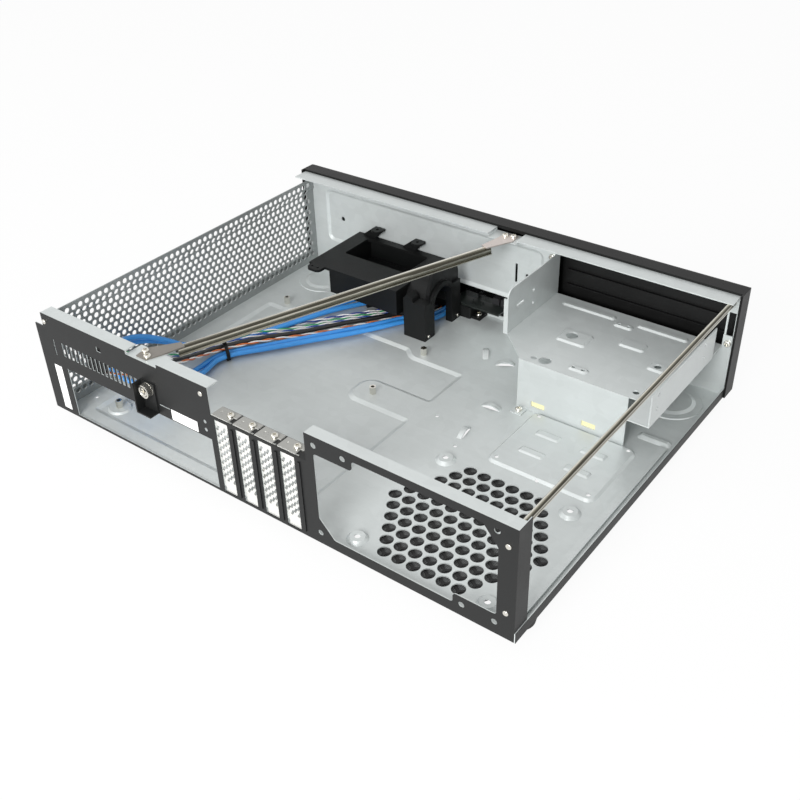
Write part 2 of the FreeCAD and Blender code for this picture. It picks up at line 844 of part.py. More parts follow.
def rear_sheet():
    vent_end = wall_x
    shelf_z = level(slot_shelf)
    outline = [(vent_end, pan_z), (psu_in, pan_z), (psu_in, top_z), (shelf_right, top_z), (shelf_right, shelf_z),
               (shelf_left, shelf_z), (shelf_left, top_z), (vent_end, top_z)]
    panel = polygon_plate([V(x, rear_y, z) for x, z in outline], V(0, -sheet, 0))
    seat_left = from_vent(seat_from_vent)
    seat_right = from_vent(seat_from_vent + seat_width)
    seat_z = top_z - seat_drop
    folds = [block((vent_end, shelf_left), (rear_y, ahead(sheet + rear_flange)), (top_z - sheet, top_z)),
             block((shelf_left, shelf_right), (rear_y, ahead(sheet + slot_shelf_depth)),
                   (level(slot_shelf) - sheet, level(slot_shelf))),
             block((shelf_right, psu_in), (rear_y, ahead(sheet + psu_flange)), (top_z - sheet, top_z)),
             block((psu_in, psu_in + sheet), (rear_y, ahead(sheet + psu_return)), (floor_z, top_z))]
    seat = block((seat_left, seat_right), (rear_y, ahead(seat_depth)), (seat_z - sheet, seat_z))
    for i in range(1, slot_count + 1):
        x = slot_centres[0] + slot_pitch / 2 - i * slot_pitch
        folds.append(block((x - post_rib / 2, x + post_rib / 2), (rear_y, rear_y + post_rib_rise),
                           (level(slot_sill + post_rib), level(slot_shelf - 2 * post_rib))))

    through = (rear_y + sheet, rear_in - sheet)
    cuts = [block((from_vent(io_from_vent), from_vent(io_from_vent + io_width)), through,
                  (level(io_sill), level(io_sill + io_height))),
            block((seat_left, seat_right), (rear_y + sheet, ahead(2 * rear_flange)), (seat_z, top_z + sheet))]
    for i in range(rear_vent_count):
        x = from_vent(io_from_vent + rear_vent_slot / 2 + i * rear_vent_pitch)
        cuts.append(block((x - rear_vent_slot / 2, x + rear_vent_slot / 2), through,
                          (level(rear_vent_level), level(rear_vent_level + rear_vent_height))))
    slit = from_vent(slit_from_vent)
    cuts.append(block((slit - slit_width / 2, slit + slit_width / 2), through,
                      (level(rear_vent_level - slit_reach), level(rear_vent_level + rear_vent_height))))
    hook = from_vent(hook_from_vent)
    cuts.append(block((hook - hook_width / 2, hook + hook_width / 2), through,
                      (level(hook_level), level(hook_level + hook_height))))
    tab_slot = from_vent(lock_from_vent + lock_width + tab_slot_gap)
    cuts.append(block((tab_slot - tab_slot_width, tab_slot), through,
                      (level(tab_slot_level), level(tab_slot_level + tab_slot_height))))
    for rise in io_hole_levels:
        cuts.append(disc(V(from_vent(io_hole_from_vent), rear_y, level(rise)), io_hole / 2, sheet, V(0, -1, 0)))
    for x in slot_centres:
        cuts.append(block((x - slot_opening / 2, x + slot_opening / 2), through,
                          (level(slot_sill), level(slot_shelf) - 2 * sheet)))
        cuts.append(block((x - cover_width / 2 - slack, x + cover_width / 2 + slack),
                          (rear_in, rear_in - cover_sheet - slack),
                          (level(slot_shelf) - 2 * sheet, level(slot_shelf) + sheet)))
    opening = [V(x, rear_y + sheet, z) for x, z in psu_opening()]
    cuts.append(plate(opening, psu_opening_round, V(0, -3 * sheet, 0)))
    for edge, rise in psu_holes:
        cuts.append(disc(V(from_psu(edge), rear_y, level(psu_hole_level + rise)), psu_hole / 2, sheet, V(0, -1, 0)))
    for x, z in rivet_places:
        cuts.append(disc(V(x, rear_y, z), rivet_head / 4, sheet, V(0, -1, 0)))
    lock_x = from_vent(lock_from_vent + lock_width / 2)
    cuts.append(disc(V(lock_x, rear_y, level(lock_level + lock_screw_rise)), screw_thread / 2, sheet, V(0, -1, 0)))
    return panel.fuse(folds).cut(cuts).fuse(seat).removeSplitter()


def rear_sections():
    # the sheet's board and card sections, and the supply's face and folded edges, which meet edge to edge
    whole = rear_sheet()
    outside = rear_y + bezel_depth
    full = (outside, front_y)
    sections = []
    for left, right, ys in ((half_width, shelf_left, full), (shelf_left, shelf_right, full),
                            (shelf_right, -half_width, (outside, rear_in)),
                            (shelf_right, -half_width, (rear_in, front_y))):
        sections.append(whole.common(block((left, right), ys, (0, 2 * top_z))))
    return sections


rivet_places = [(from_psu(across), level(rise)) for across, rise in rivet_spots]


def panel_rivets():
    pieces = []
    for x, z in rivet_places:
        seat = V(x, rear_y, z)
        head = disc(seat, rivet_head / 2, rivet_rise, V(0, 1, 0))
        head = head.makeFillet(rivet_rise * head_round_share, [edge_at(head, seat + V(0, rivet_rise, 0))])
        pieces.append(head.fuse(disc(seat, rivet_head / 4 - slack, sheet, V(0, -1, 0))))
    return group(pieces)


def slot_cover(x):
    # a perforated plate hung inside the panel, with a tab that is screwed to the shelf
    top = level(slot_shelf) + cover_sheet
    left = x + cover_width / 2
    right = x - cover_width / 2
    ys = (rear_in, rear_in - cover_sheet)
    body = block((left, right), ys, (level(cover_foot + cover_tongue_height), top))
    tongue = block((x - cover_tongue / 2, x + cover_tongue / 2), ys, (level(cover_foot), top))
    tab = block((left, right), (rear_in, rear_in - cover_tab), (top - cover_sheet, top))
    cuts = [block((right, right + cover_notch), (rear_in, rear_in - cover_notch_depth), (top - cover_sheet, top)),
            disc(V(slot_screw_x(x), slot_screw_y, top - cover_sheet), screw_thread / 2, cover_sheet, V(0, 0, 1)),
            disc(V(left - cover_dimple_from_edge, slot_screw_y, top), cover_dimple / 2, cover_dimple_depth,
                 V(0, 0, -1))]
    half = cover_hole_length / 2
    for row in range(cover_hole_rows):
        for column in range(cover_hole_columns):
            slit = block((-cover_hole / 2, cover_hole / 2), (0, -3 * sheet), (-half, half))
            slit.rotate(V(0, 0, 0), V(0, 1, 0), -cover_hole_slant)
            slit.translate(V(x + (column - (cover_hole_columns - 1) / 2) * cover_hole_step, rear_y,
                             level(cover_hole_first + (row + column % 2 / 2) * cover_hole_rise)))
            cuts.append(slit)
    return body.fuse([tongue, tab]).cut(cuts).removeSplitter()


slot_screw_y = rear_in - cover_screw_from_panel


def slot_screw_x(x):
    return x - cover_width / 2 + cover_screw_from_edge


def slot_screws():
    seat = level(slot_shelf) + cover_sheet
    return group([pan_head_screw(V(slot_screw_x(x), slot_screw_y, seat), V(0, 0, 1), length=cover_sheet)
                  for x in slot_centres])


# Front wall behind the bezel

bay_left = from_psu(bay_from_psu + bay_width)
bay_right = from_psu(bay_from_psu)


def front_wall():
    left = vent_edge - sheet
    wall = block((psu_in, left), (front_y, front_in), (pan_z, top_z))
    rim = block((psu_in, left), (front_y, behind(front_flange + sheet)), (top_z - sheet, top_z))
    gap_left = from_vent(gap_from_vent)
    gap_right = from_vent(gap_from_vent + gap_width)
    seat_z = top_z - seat_drop
    seat = block((gap_left, gap_right), (front_y, behind(front_flange + sheet)), (seat_z - sheet, seat_z))
    dent = rectangle((from_vent(panel_from_vent), from_vent(panel_from_vent + panel_width)),
                     (level(panel_level), level(panel_level + panel_height)), 0)
    field = tapered(dent, recess_corner, emboss_run, panel_emboss)
    field.rotate(V(0, 0, 0), V(1, 0, 0), 90)
    field.translate(V(0, front_in, 0))
    outer = field.copy()
    outer.translate(V(0, -sheet, 0))
    wall = wall.fuse([rim, outer]).cut(field)
    through = (front_y - 2 * panel_emboss, front_in + sheet)
    cuts = [block((gap_left, gap_right), (front_y - sheet, behind(2 * front_flange)), (seat_z, top_z + sheet)),
            block((bay_left, bay_right), through, (level(bay_level), level(bay_level + bay_height))),
            block((from_vent(port_from_vent), from_vent(port_from_vent + port_width)), through,
                  (level(port_sill), level(port_sill + port_height))),
            block((from_psu(panel_slot_from_psu), from_psu(panel_slot_from_psu + panel_slot_width)), through,
                  (level(panel_slot_level), level(panel_slot_level + panel_slot_height))),
            block((from_psu(notch_from_psu), from_psu(notch_from_psu + notch_width)), through,
                  (level(notch_level), level(notch_level + notch_height)))]
    for x, width in ((from_vent(panel_hole_vent[0]), panel_hole_vent[1]),
                     (from_psu(panel_hole_psu[0]), panel_hole_psu[1])):
        cuts.append(disc(V(x, front_in, level(panel_hole_level)), width / 2, 3 * panel_emboss, V(0, -1, 0)))
    for x, z in tray_wall_screws:
        cuts.append(disc(V(x, front_in, z), screw_thread / 2, 2 * sheet, V(0, -1, 0)))
    return wall.cut(cuts).fuse(seat).removeSplitter()


# Drive tray: the bay floor, its two side walls and the apron that stands on the pan

tray_z = level(tray_level)
tray_left = bay_left
tray_right = bay_right
apron_y = behind(tray_depth)
apron_right = from_psu(apron_from_psu)
apron_left = from_psu(apron_from_psu + apron_width)
tray_front = front_in
left_rear = behind(tray_left_depth)
right_rear = behind(tray_right_depth)
tray_wall_screws = [(tray_left + tray_flange / 2, tray_z + tray_left_height - tray_screw_inset),
                    (tray_right - tray_flange_screw, tray_z + tray_flange_rise - 2 * sheet)]
tray_foot_x = apron_left - tray_foot / 2
tray_foot_y = apron_y + sheet + tray_foot / 2


def drive_tray():
    ear = from_psu(apron_from_psu - tray_ear)
    under = tray_z - sheet
    left_top = tray_z + tray_left_height
    right_top = tray_z + tray_right_height
    outline = [V(tray_left, tray_front, tray_z), V(tray_left, left_rear, tray_z), V(apron_left, apron_y, tray_z),
               V(ear, apron_y, tray_z), V(ear, right_rear, tray_z), V(tray_right, right_rear, tray_z),
               V(tray_right, tray_front, tray_z)]
    deck = polygon_plate(outline, V(0, 0, -sheet))
    left = block((tray_left, tray_left + sheet), (tray_front, left_rear), (under, left_top))
    corner = [edge for edge in left.Edges if edge.CenterOfMass.y > left_rear - sheet
              and edge.CenterOfMass.z > left_top - sheet and edge.Length < 2 * sheet]
    left = left.makeFillet(tray_corner, corner)
    left_flange = block((tray_left, tray_left + tray_flange), (tray_front, tray_front + sheet), (under, left_top))
    left_lip = block((tray_left, tray_left + tray_lip), (left_rear, left_rear - sheet),
                     (under, left_top - tray_lip_drop))
    right = block((tray_right, tray_right - sheet), (behind(tray_wall_start), right_rear), (under, right_top))
    right_flange = block((tray_right, psu_in + slack), (tray_front, tray_front + sheet),
                         (under, tray_z + 2 * tray_flange_rise))
    apron = block((apron_left, apron_right), (apron_y, apron_y + sheet), (floor_z, tray_z))
    foot = block((apron_left, apron_left - tray_foot), (apron_y, apron_y + sheet + tray_foot),
                 (floor_z, floor_z + sheet))
    added = [left, left_flange, left_lip, right, right_flange, apron, foot]
    removed = []
    for start, width, reach, depth in tray_fields:
        inner_x = tray_left - start
        field = rectangle((inner_x, inner_x - width), (behind(reach), behind(reach + depth)), tray_z)
        added.append(tapered(field, press_round + press_run, press_run, press_rise))
        pocket = tapered(field, press_round + press_run, press_run, press_rise)
        pocket.translate(V(0, 0, -sheet))
        removed.append(pocket)
    for x, y, radius in tray_holes:
        removed.append(disc(V(tray_left - x, behind(y), under - sheet), radius, 3 * sheet + press_rise, V(0, 0, 1)))
    for i in range(2):
        near = apron_left - window_first - i * window_step
        removed.append(block((near, near - window_width), (apron_y - sheet, apron_y + 2 * sheet),
                             (level(window_level), level(window_level + window_height))))
    for rise in (bay_hole_level, bay_hole_level + bay_hole_step):
        for x, y in ((tray_left, behind(bay_hole_from_front)), (tray_right, behind(bay_hole_from_front)),
                     (tray_right, behind(bay_hole_from_front + bay_hole_along))):
            removed.append(disc(V(x - 2 * sheet, y, tray_z + rise), bay_hole / 2, 4 * sheet, V(1, 0, 0)))
    removed.append(block((tray_left - sheet, tray_left + 2 * sheet),
                         (behind(tray_slot_from_front), behind(tray_slot_from_front + tray_slot_length)),
                         (tray_z + tray_slot_level, tray_z + tray_slot_level + tray_slot_height)))
    removed.append(disc(V(tray_foot_x, tray_foot_y, floor_z), screw_thread / 2, sheet, V(0, 0, 1)))
    for x, z in tray_wall_screws:
        removed.append(disc(V(x, tray_front, z), screw_thread / 2, sheet, V(0, 1, 0)))
    return deck.fuse(added).cut(removed).removeSplitter()


def tray_screws():
    pieces = [pan_head_screw(V(tray_foot_x, tray_foot_y, floor_z + sheet), V(0, 0, 1), length=sheet)]
    for x, z in tray_wall_screws:
        pieces.append(pan_head_screw(V(x, tray_front + sheet, z), V(0, 1, 0), length=2 * sheet))
    return group(pieces)


def tray_pads():
    pads = []
    for i in range(2):
        near = apron_left - window_first - i * window_step + sheet
        pads.append(block((near, near - window_width - 2 * sheet), (apron_y - pad_thickness, apron_y),
                          (level(window_level - sheet), level(window_level + window_height + sheet))))
    return group(pads)


# Braces: channels of bent sheet under their end plates

brace_rear = V(from_vent(brace_rear_from_vent), ahead(brace_rear_ahead), 0)
brace_front = V(from_vent(brace_front_from_vent), behind(brace_front_behind), 0)
brace_line = (brace_front - brace_rear).normalize()
brace_side = V(-brace_line.y, brace_line.x, 0)
brace_top = top_z - seat_drop


def channel(start, line, side, length, width, height, top, crown):
    # a channel open below with a rounded back, its walls one sheet thick
    def bar(half, high, radius):
        points = [start + side * a + V(0, 0, z) for a, z in ((half, top - height), (-half, top - height),
                                                             (-half, high), (half, high))]
        solid = polygon_plate(points, line * length)
        back = [edge for edge in solid.Edges if edge.Length > length - slack and edge.CenterOfMass.z > high - slack]
        return solid.makeFillet(radius, back)
    return bar(width / 2, top, crown).cut(bar(width / 2 - sheet, top - sheet, crown - sheet))


def diagonal_brace():
    start = V(brace_rear.x, brace_rear.y, 0)
    length = (brace_front - brace_rear).Length
    bar = channel(start, brace_line, brace_side, length, brace_width, brace_height, brace_top, brace_round)
    low = V(0, 0, brace_top - brace_height)
    lips = []
    for turn in (-1, 1):
        inner = start + low + brace_side * turn * (brace_width / 2 - sheet)
        outer = start + low + brace_side * turn * (brace_width / 2 + brace_lip)
        rise = V(0, 0, brace_lip_sheet)
        lips.append(polygon_plate([inner, outer, outer + rise, inner + rise], brace_line * length))
    return bar.fuse(lips).removeSplitter()


def end_plate(end, inward, corners):
    # a flat plate that laps the channel's end and lies on its seat
    tongue = [end + inward * plate_lap + brace_side * brace_width / 2,
              end + inward * plate_lap - brace_side * brace_width / 2]
    points = [V(p.x, p.y, brace_top) for p in corners + tongue]
    return polygon_plate(points, V(0, 0, plate_thickness))


def rear_seat_places(places):
    return [V(from_vent(seat_from_vent + across), ahead(depth), 0) for across, depth in places]


def front_seat_places(places):
    return [V(from_vent(gap_from_vent + across), behind(depth), 0) for across, depth in places]


def rear_end_plate():
    body = end_plate(brace_rear, brace_line, rear_seat_places(rear_plate_corners))
    return body.cut([screw_hole(place) for place in rear_seat_places(rear_plate_screws)])


def front_end_plate():
    body = end_plate(brace_front, brace_line * -1, front_seat_places(front_plate_corners))
    return body.cut([screw_hole(place) for place in front_seat_places(front_plate_screws)])


def screw_hole(place):
    return disc(V(place.x, place.y, brace_top), screw_thread / 2, plate_thickness, V(0, 0, 1))


def brace_screws():
    seat = brace_top + plate_thickness
    places = rear_seat_places(rear_plate_screws) + front_seat_places(front_plate_screws)
    return group([pan_head_screw(V(p.x, p.y, seat), V(0, 0, 1), rise=seat_drop - plate_thickness - slack,
                                 length=plate_thickness) for p in places])


def side_brace():
    start = V(from_psu(side_brace_from_psu + side_brace_width / 2), ahead(brace_end_gap), 0)
    length = chassis_depth - 2 * brace_end_gap
    return channel(start, V(0, -1, 0), V(1, 0, 0), length, side_brace_width, side_brace_height, top_z - sheet,
                   side_brace_round)


# Moulded bracket: a shallow box with a window in its deck, ears and a cable arch at one end

bracket_x = from_vent(bracket_from_vent)
bracket_front = front_in
bracket_rear = bracket_front + bracket_depth
bracket_z = level(bracket_level)
bracket_under = bracket_z - bracket_wall
bracket_floor = bracket_under - bracket_box_height
bracket_end = bracket_x - bracket_width
arch_front = behind(arch_from_front)
arch_rear = arch_front + arch_span
rim_x = bracket_end - arch_width
peg_z = floor_z + peg_rise_from_floor
pegs = [V(rim_x, arch_front - hood_reach / 2, peg_z), V(rim_x, arch_rear + arch_leg_depth / 2, peg_z)]


def bracket_box():
    step_x = bracket_x - bracket_box_inset
    step_y = bracket_front + bracket_box_step_depth
    inner_x = step_x - bracket_box_step
    outline = [V(step_x, bracket_front, 0), V(bracket_end, bracket_front, 0), V(bracket_end, bracket_rear, 0),
               V(inner_x, bracket_rear, 0), V(inner_x, step_y, 0), V(step_x, step_y, 0)]
    hollow = inset(outline, bracket_wall)[0]
    lift = V(0, 0, bracket_floor)
    walls = polygon_plate([p + lift for p in outline], V(0, 0, bracket_box_height))
    lift = V(0, 0, bracket_floor + bracket_wall)
    return walls.cut(polygon_plate([p + lift for p in hollow], V(0, 0, bracket_box_height)))


def bracket_ear(i):
    # a leaning web on the deck's front edge, with a round tab turned level at its top
    root = bracket_x - ear_first - i * ear_step
    tip = root - ear_lean + (ear_root - ear_tip) / 2
    top = bracket_z + ear_rise
    web = polygon_plate([V(root, bracket_front, bracket_z), V(root - ear_root, bracket_front, bracket_z),
                         V(tip - ear_tip, bracket_front, top), V(tip, bracket_front, top)], V(0, bracket_wall, 0))
    eye = V(tip - ear_tip / 2, bracket_front + ear_reach, top - ear_sheet)
    tab = block((tip, tip - ear_tip), (bracket_front, eye.y), (eye.z, top))
    tab = tab.fuse(disc(eye, ear_tip / 2, ear_sheet, V(0, 0, 1)))
    return web.fuse(tab.cut(disc(eye, ear_hole / 2, ear_sheet, V(0, 0, 1))))


def side_ear():
    left = from_vent(side_ear_from_vent)
    ys = (bracket_rear - side_ear_reach, bracket_rear + side_ear_reach)
    outline = rectangle((left, left - side_ear_width), ys, bracket_under)
    tab = plate(outline, side_ear_reach / 2, V(0, 0, bracket_wall))
    holes = []
    for across in side_ear_holes:
        place = V(left - across, bracket_rear + side_ear_reach / 2, bracket_under)
        holes.append(disc(place, side_ear_hole / 2, bracket_wall, V(0, 0, 1)))
    return tab, holes


def arch_tunnel(margin, start, reach):
    # an upright opening with a half-round top, along X
    half = arch_span / 2 - margin
    middle = arch_front + arch_span / 2
    spring = floor_z + arch_height - margin - half
    near = V(start, middle + half, floor_z)
    far = V(start, middle - half, floor_z)
    near_spring = V(start, near.y, spring)
    far_spring = V(start, far.y, spring)
    arc = Part.Arc(far_spring, V(start, middle, spring + half), near_spring)
    wire = Part.Wire([Part.LineSegment(far, far_spring).toShape(), arc.toShape(),
                      Part.LineSegment(near_spring, near).toShape(), Part.LineSegment(near, far).toShape()])
    return Part.Face(wire).extrude(V(reach, 0, 0))


def cable_arch():
    tube = arch_tunnel(0, rim_x, arch_width)
    hood_x = rim_x + hood_from_rim
    far = arch_front - hood_reach
    hood_top = floor_z + hood_height
    outline = [V(hood_x, far, floor_z), V(hood_x, far, hood_top), V(hood_x, arch_rear - hood_slope, hood_top),
               V(hood_x, arch_rear, floor_z + hood_shoulder), V(hood_x, arch_rear, floor_z)]
    rim = rounded_wire(outline, [slack, hood_corner, hood_slope, slack, slack])
    hood = Part.Face(rim).extrude(V(hood_thickness, 0, 0))
    post = block((rim_x, hood_x + hood_thickness), (far, arch_front + arch_wall),
                 (floor_z, floor_z + hood_post_height))
    leg_left = rim_x + arch_leg_width
    leg_points = [(leg_left, 0)] + [(leg_left - across, rise) for across, rise in arch_leg_shoulder]
    leg_points += [(rim_x, arch_leg_height), (rim_x, 0)]
    leg = polygon_plate([V(x, arch_rear, floor_z + rise) for x, rise in leg_points], V(0, arch_leg_depth, 0))
    door = block((bracket_end + bracket_wall, bracket_end + bracket_wall - door_width),
                 (far, arch_front + arch_wall), (floor_z, floor_z + door_height))
    solid = tube.fuse([hood, post, leg]).cut(arch_tunnel(arch_wall, rim_x, arch_width))
    return solid.cut([door] + [disc(place, screw_thread / 2, peg_length + slack, V(1, 0, 0)) for place in pegs])


def moulded_bracket():
    deck = block((bracket_x, bracket_end), (bracket_front, bracket_rear), (bracket_under, bracket_z))
    window_x = bracket_x - bracket_window_edge
    window_y = bracket_front + bracket_window_front
    outline = rectangle((window_x, window_x - bracket_window_width), (window_y, window_y + bracket_window_depth),
                        bracket_under)
    window = plate(outline, bracket_wall, V(0, 0, bracket_wall))
    tab, holes = side_ear()
    body = deck.fuse([bracket_box(), tab, bracket_ear(0), bracket_ear(1)])
    return body.cut([window] + holes).fuse(cable_arch()).removeSplitter()


def bracket_screws():
    return group([pan_head_screw(place, V(-1, 0, 0), peg_head, peg_rise, peg_length) for place in pegs])


# Front connector block: housing, board and sockets

block_x = from_vent(block_from_vent)
block_rear = front_in + block_depth
block_z = floor_z + block_height
board_x = from_vent(board_start)
board_top = block_z + board_sheet
socket_front = bezel_y + socket_inset
block_screw = V(block_x - block_width - block_tab / 2, front_in + block_depth / 2, floor_z + bracket_wall)


def front_io_housing():
    body = block((block_x, block_x - block_width), (front_in, block_rear), (floor_z, block_z))
    rim = [edge for edge in body.Edges if edge.CenterOfMass.y > block_rear - slack
           and edge.Length < block_height + slack and edge.CenterOfMass.z > floor_z + slack
           and edge.CenterOfMass.z < block_z - slack]
    body = body.makeFillet(bracket_wall / 2, rim)
    tab = block((block_x - block_width, block_x - block_width - block_tab), (front_in, block_rear - board_margin),
                (floor_z, floor_z + bracket_wall))
    hole = disc(block_screw - V(0, 0, bracket_wall), screw_thread / 2, bracket_wall, V(0, 0, 1))
    return body.fuse(tab).cut(hole).removeSplitter()


def front_io_screw():
    return pan_head_screw(block_screw, V(0, 0, 1), length=bracket_wall)


def front_io_board():
    ys = (front_y - board_reach, block_rear - board_margin)
    board = block((board_x, board_x - board_width), ys, (block_z, board_top))
    pins = []
    for i in range(pin_count):
        for j in range(2):
            x = board_x - board_width / 2 - (i - pin_count / 2) * pin_step
            y = front_in + pin_from_wall + j * pin_step
            pins.append(block((x - pin_side / 2, x + pin_side / 2), (y - pin_side / 2, y + pin_side / 2),
                              (board_top, board_top + pin_rise)))
    return board.fuse(pins).removeSplitter()


def socket_x(first, step, i):
    return board_x - first - i * step


def usb_socket(i):
    x = socket_x(usb_first, usb_step, i)
    zs = (board_top, board_top + usb_height)
    ys = (socket_front, front_y - slack)
    shell = block((x, x - usb_width), ys, zs)
    back = front_y - socket_depth
    mouth = block((x - usb_wall, x - usb_width + usb_wall), (socket_front, back),
                  (zs[0] + usb_wall, zs[1] - usb_wall))
    tongue = block((x - tongue_margin, x - usb_width + tongue_margin), (socket_front + tongue_inset, back),
                   (zs[1] - usb_wall - usb_tongue, zs[1] - usb_wall))
    return shell.cut(mouth).fuse(tongue).removeSplitter()


def sound_socket(i):
    x = socket_x(jack_first, jack_step, i)
    z = board_top + jack_radius
    face = front_y - jack_nose
    body = block((x - jack_radius, x + jack_radius), (face, front_y - slack),
                 (board_top, board_top + 2 * jack_radius))
    nose = disc(V(x, face, z), jack_radius, face - socket_front, V(0, -1, 0))
    bore = disc(V(x, socket_front, z), jack_bore, jack_depth, V(0, 1, 0))
    return body.fuse(nose).cut(bore).removeSplitter()


# Front bezel: a hollow moulding, with the bay, socket, button and light openings

button_x = from_vent(button_from_vent)
reset_x = button_x - reset_step
light_xs = [button_x - light_first - i * light_step for i in range(2)]
button_z = level(button_level)
face_in = bezel_y + bezel_wall
stem_end = face_in + button_collar_thickness + stem_length
plunger_tip = stem_end + button_travel + slack
stem_board = plunger_tip + plunger_length + switch_body


def bezel_shell():
    outer = block((half_width, -half_width), (bezel_y, front_y), (pan_z, bezel_top))
    rim = [edge for edge in outer.Edges if abs(edge.CenterOfMass.y - bezel_y) < slack]
    outer = outer.makeFillet(bezel_round, rim)
    inner = block((half_width - bezel_wall, -half_width + bezel_wall), (face_in, front_y),
                  (pan_z + bezel_wall, bezel_top - bezel_wall))
    return outer.cut(inner)


def front_bezel():
    shell = bezel_shell()
    returns = []
    for side in (-1, 1):
        outer = side * half_width
        inner = side * (half_width - side_reveal + bezel_return_gap)
        returns.append(block((outer, inner), (front_y, front_y + bezel_return), (pan_z, bezel_top)))
    through = (bezel_y - sheet, face_in)
    cuts = [block((bay_left + fit, bay_right - fit), through,
                  (level(bay_level) - fit, level(bay_level + bay_height) + fit)),
            disc(V(button_x, bezel_y, button_z), button_radius + fit, bezel_wall, V(0, 1, 0)),
            disc(V(reset_x, bezel_y, button_z), reset_radius + fit, bezel_wall, V(0, 1, 0))]
    for x in light_xs:
        cuts.append(disc(V(x, bezel_y, button_z), light_radius + fit, bezel_wall, V(0, 1, 0)))
    for i in range(2):
        x = socket_x(usb_first, usb_step, i)
        cuts.append(block((x + fit, x - usb_width - fit), through, (board_top - fit, board_top + usb_height + fit)))
        cuts.append(disc(V(socket_x(jack_first, jack_step, i), bezel_y, board_top + jack_radius), jack_radius + fit,
                         bezel_wall, V(0, 1, 0)))
    bosses = [disc(V(x, face_in, z), boss_radius, stem_board - face_in, V(0, 1, 0)) for x, z in boss_places]
    return shell.fuse(returns).cut(cuts).fuse(bosses).removeSplitter()


board_span = (button_x + switch_board_margin, light_xs[-1] - switch_board_margin)
boss_inset = boss_radius + sheet
boss_places = [(x, button_z + side * (switch_board_half_height - boss_inset))
               for x in (board_span[0] - boss_inset, board_span[1] + boss_inset) for side in (-1, 1)]


def bay_cover():
    # a blanking plate with a lip behind the bezel and ribs on its inner side
    xs = (bay_left, bay_right)
    zs = (level(bay_level), level(bay_level + bay_height))
    front = block(xs, (bezel_y, face_in), zs)
    back_y = face_in + cover_lip
    back = block((xs[0] + cover_lip, xs[1] - cover_lip), (face_in, back_y), (zs[0] - cover_lip, zs[1] + cover_lip))
    ribs = []
    for i in range(cover_rib_count):
        z = zs[0] + (i + 1 / 2) * bay_height / cover_rib_count
        ribs.append(block((xs[0] - cover_lip, xs[1] + cover_lip), (back_y, back_y + cover_rib_depth),
                          (z - cover_rib / 2, z + cover_rib / 2)))
    return front.fuse([back] + ribs).removeSplitter()


def push_button(x, radius):
    # a cap that stands proud of the bezel, a collar that stops it and a stem on the switch
    cap = disc(V(x, bezel_y - button_proud, button_z), radius, button_proud + bezel_wall, V(0, 1, 0))
    cap = cap.makeFillet(button_proud * head_round_share, [edge_at(cap, V(x, bezel_y - button_proud, button_z))])
    collar = disc(V(x, face_in, button_z), radius + button_collar, button_collar_thickness, V(0, 1, 0))
    stem = disc(V(x, face_in + button_collar_thickness, button_z), switch_plunger, stem_length, V(0, 1, 0))
    return cap.fuse([collar, stem]).removeSplitter()


def light_pipe(x):
    length = stem_board - bezel_y
    pipe = disc(V(x, bezel_y, button_z), light_radius, length, V(0, 1, 0))
    head = disc(V(x, face_in, button_z), light_head / 2 + fit, bezel_wall, V(0, 1, 0))
    return pipe.fuse(head).removeSplitter()


def switch_board():
    return block(board_span, (stem_board, stem_board + switch_board_thickness),
                 (button_z - switch_board_half_height, button_z + switch_board_half_height))


def switches():
    pieces = []
    for x in (button_x, reset_x):
        body = block((x - switch_side / 2, x + switch_side / 2), (stem_board - switch_body, stem_board),
                     (button_z - switch_side / 2, button_z + switch_side / 2))
        plunger = disc(V(x, plunger_tip, button_z), switch_plunger, plunger_length, V(0, 1, 0))
        pieces.append(body.fuse(plunger))
    return group(pieces)


# Lock bracket, thumb screw and blank stickers on the rear face

def lock_bracket():
    left = from_vent(lock_from_vent)
    right = from_vent(lock_from_vent + lock_width)
    zs = (level(lock_level), level(lock_level + lock_height))
    base = block((left, right), (rear_y, rear_y + lock_lip_sheet), zs)
    lip = block((left, left - lock_lip_sheet), (rear_y, rear_y + lock_lip), zs)
    shelf = block((left, right), (rear_y, rear_y + lock_lip), (zs[0], zs[0] + lock_lip_sheet))
    place = V((left + right) / 2, rear_y, zs[0] + lock_screw_rise)
    hole = disc(place, screw_thread / 2, lock_lip_sheet, V(0, 1, 0))
    return base.fuse([lip, shelf]).cut(hole).removeSplitter()


def lock_screw():
    middle = from_vent(lock_from_vent + lock_width / 2)
    seat = V(middle, rear_y + lock_lip_sheet, level(lock_level + lock_screw_rise))
    return pan_head_screw(seat, V(0, 1, 0), thumb_head, thumb_rise, lock_lip_sheet + sheet)


def sticker_plate(start, width, low, height):
    return block((from_vent(start), from_vent(start + width)), (rear_y, rear_y + sticker),
                 (level(low), level(low + height)))


# Cords: each route is a list of points, with an arc at every turn

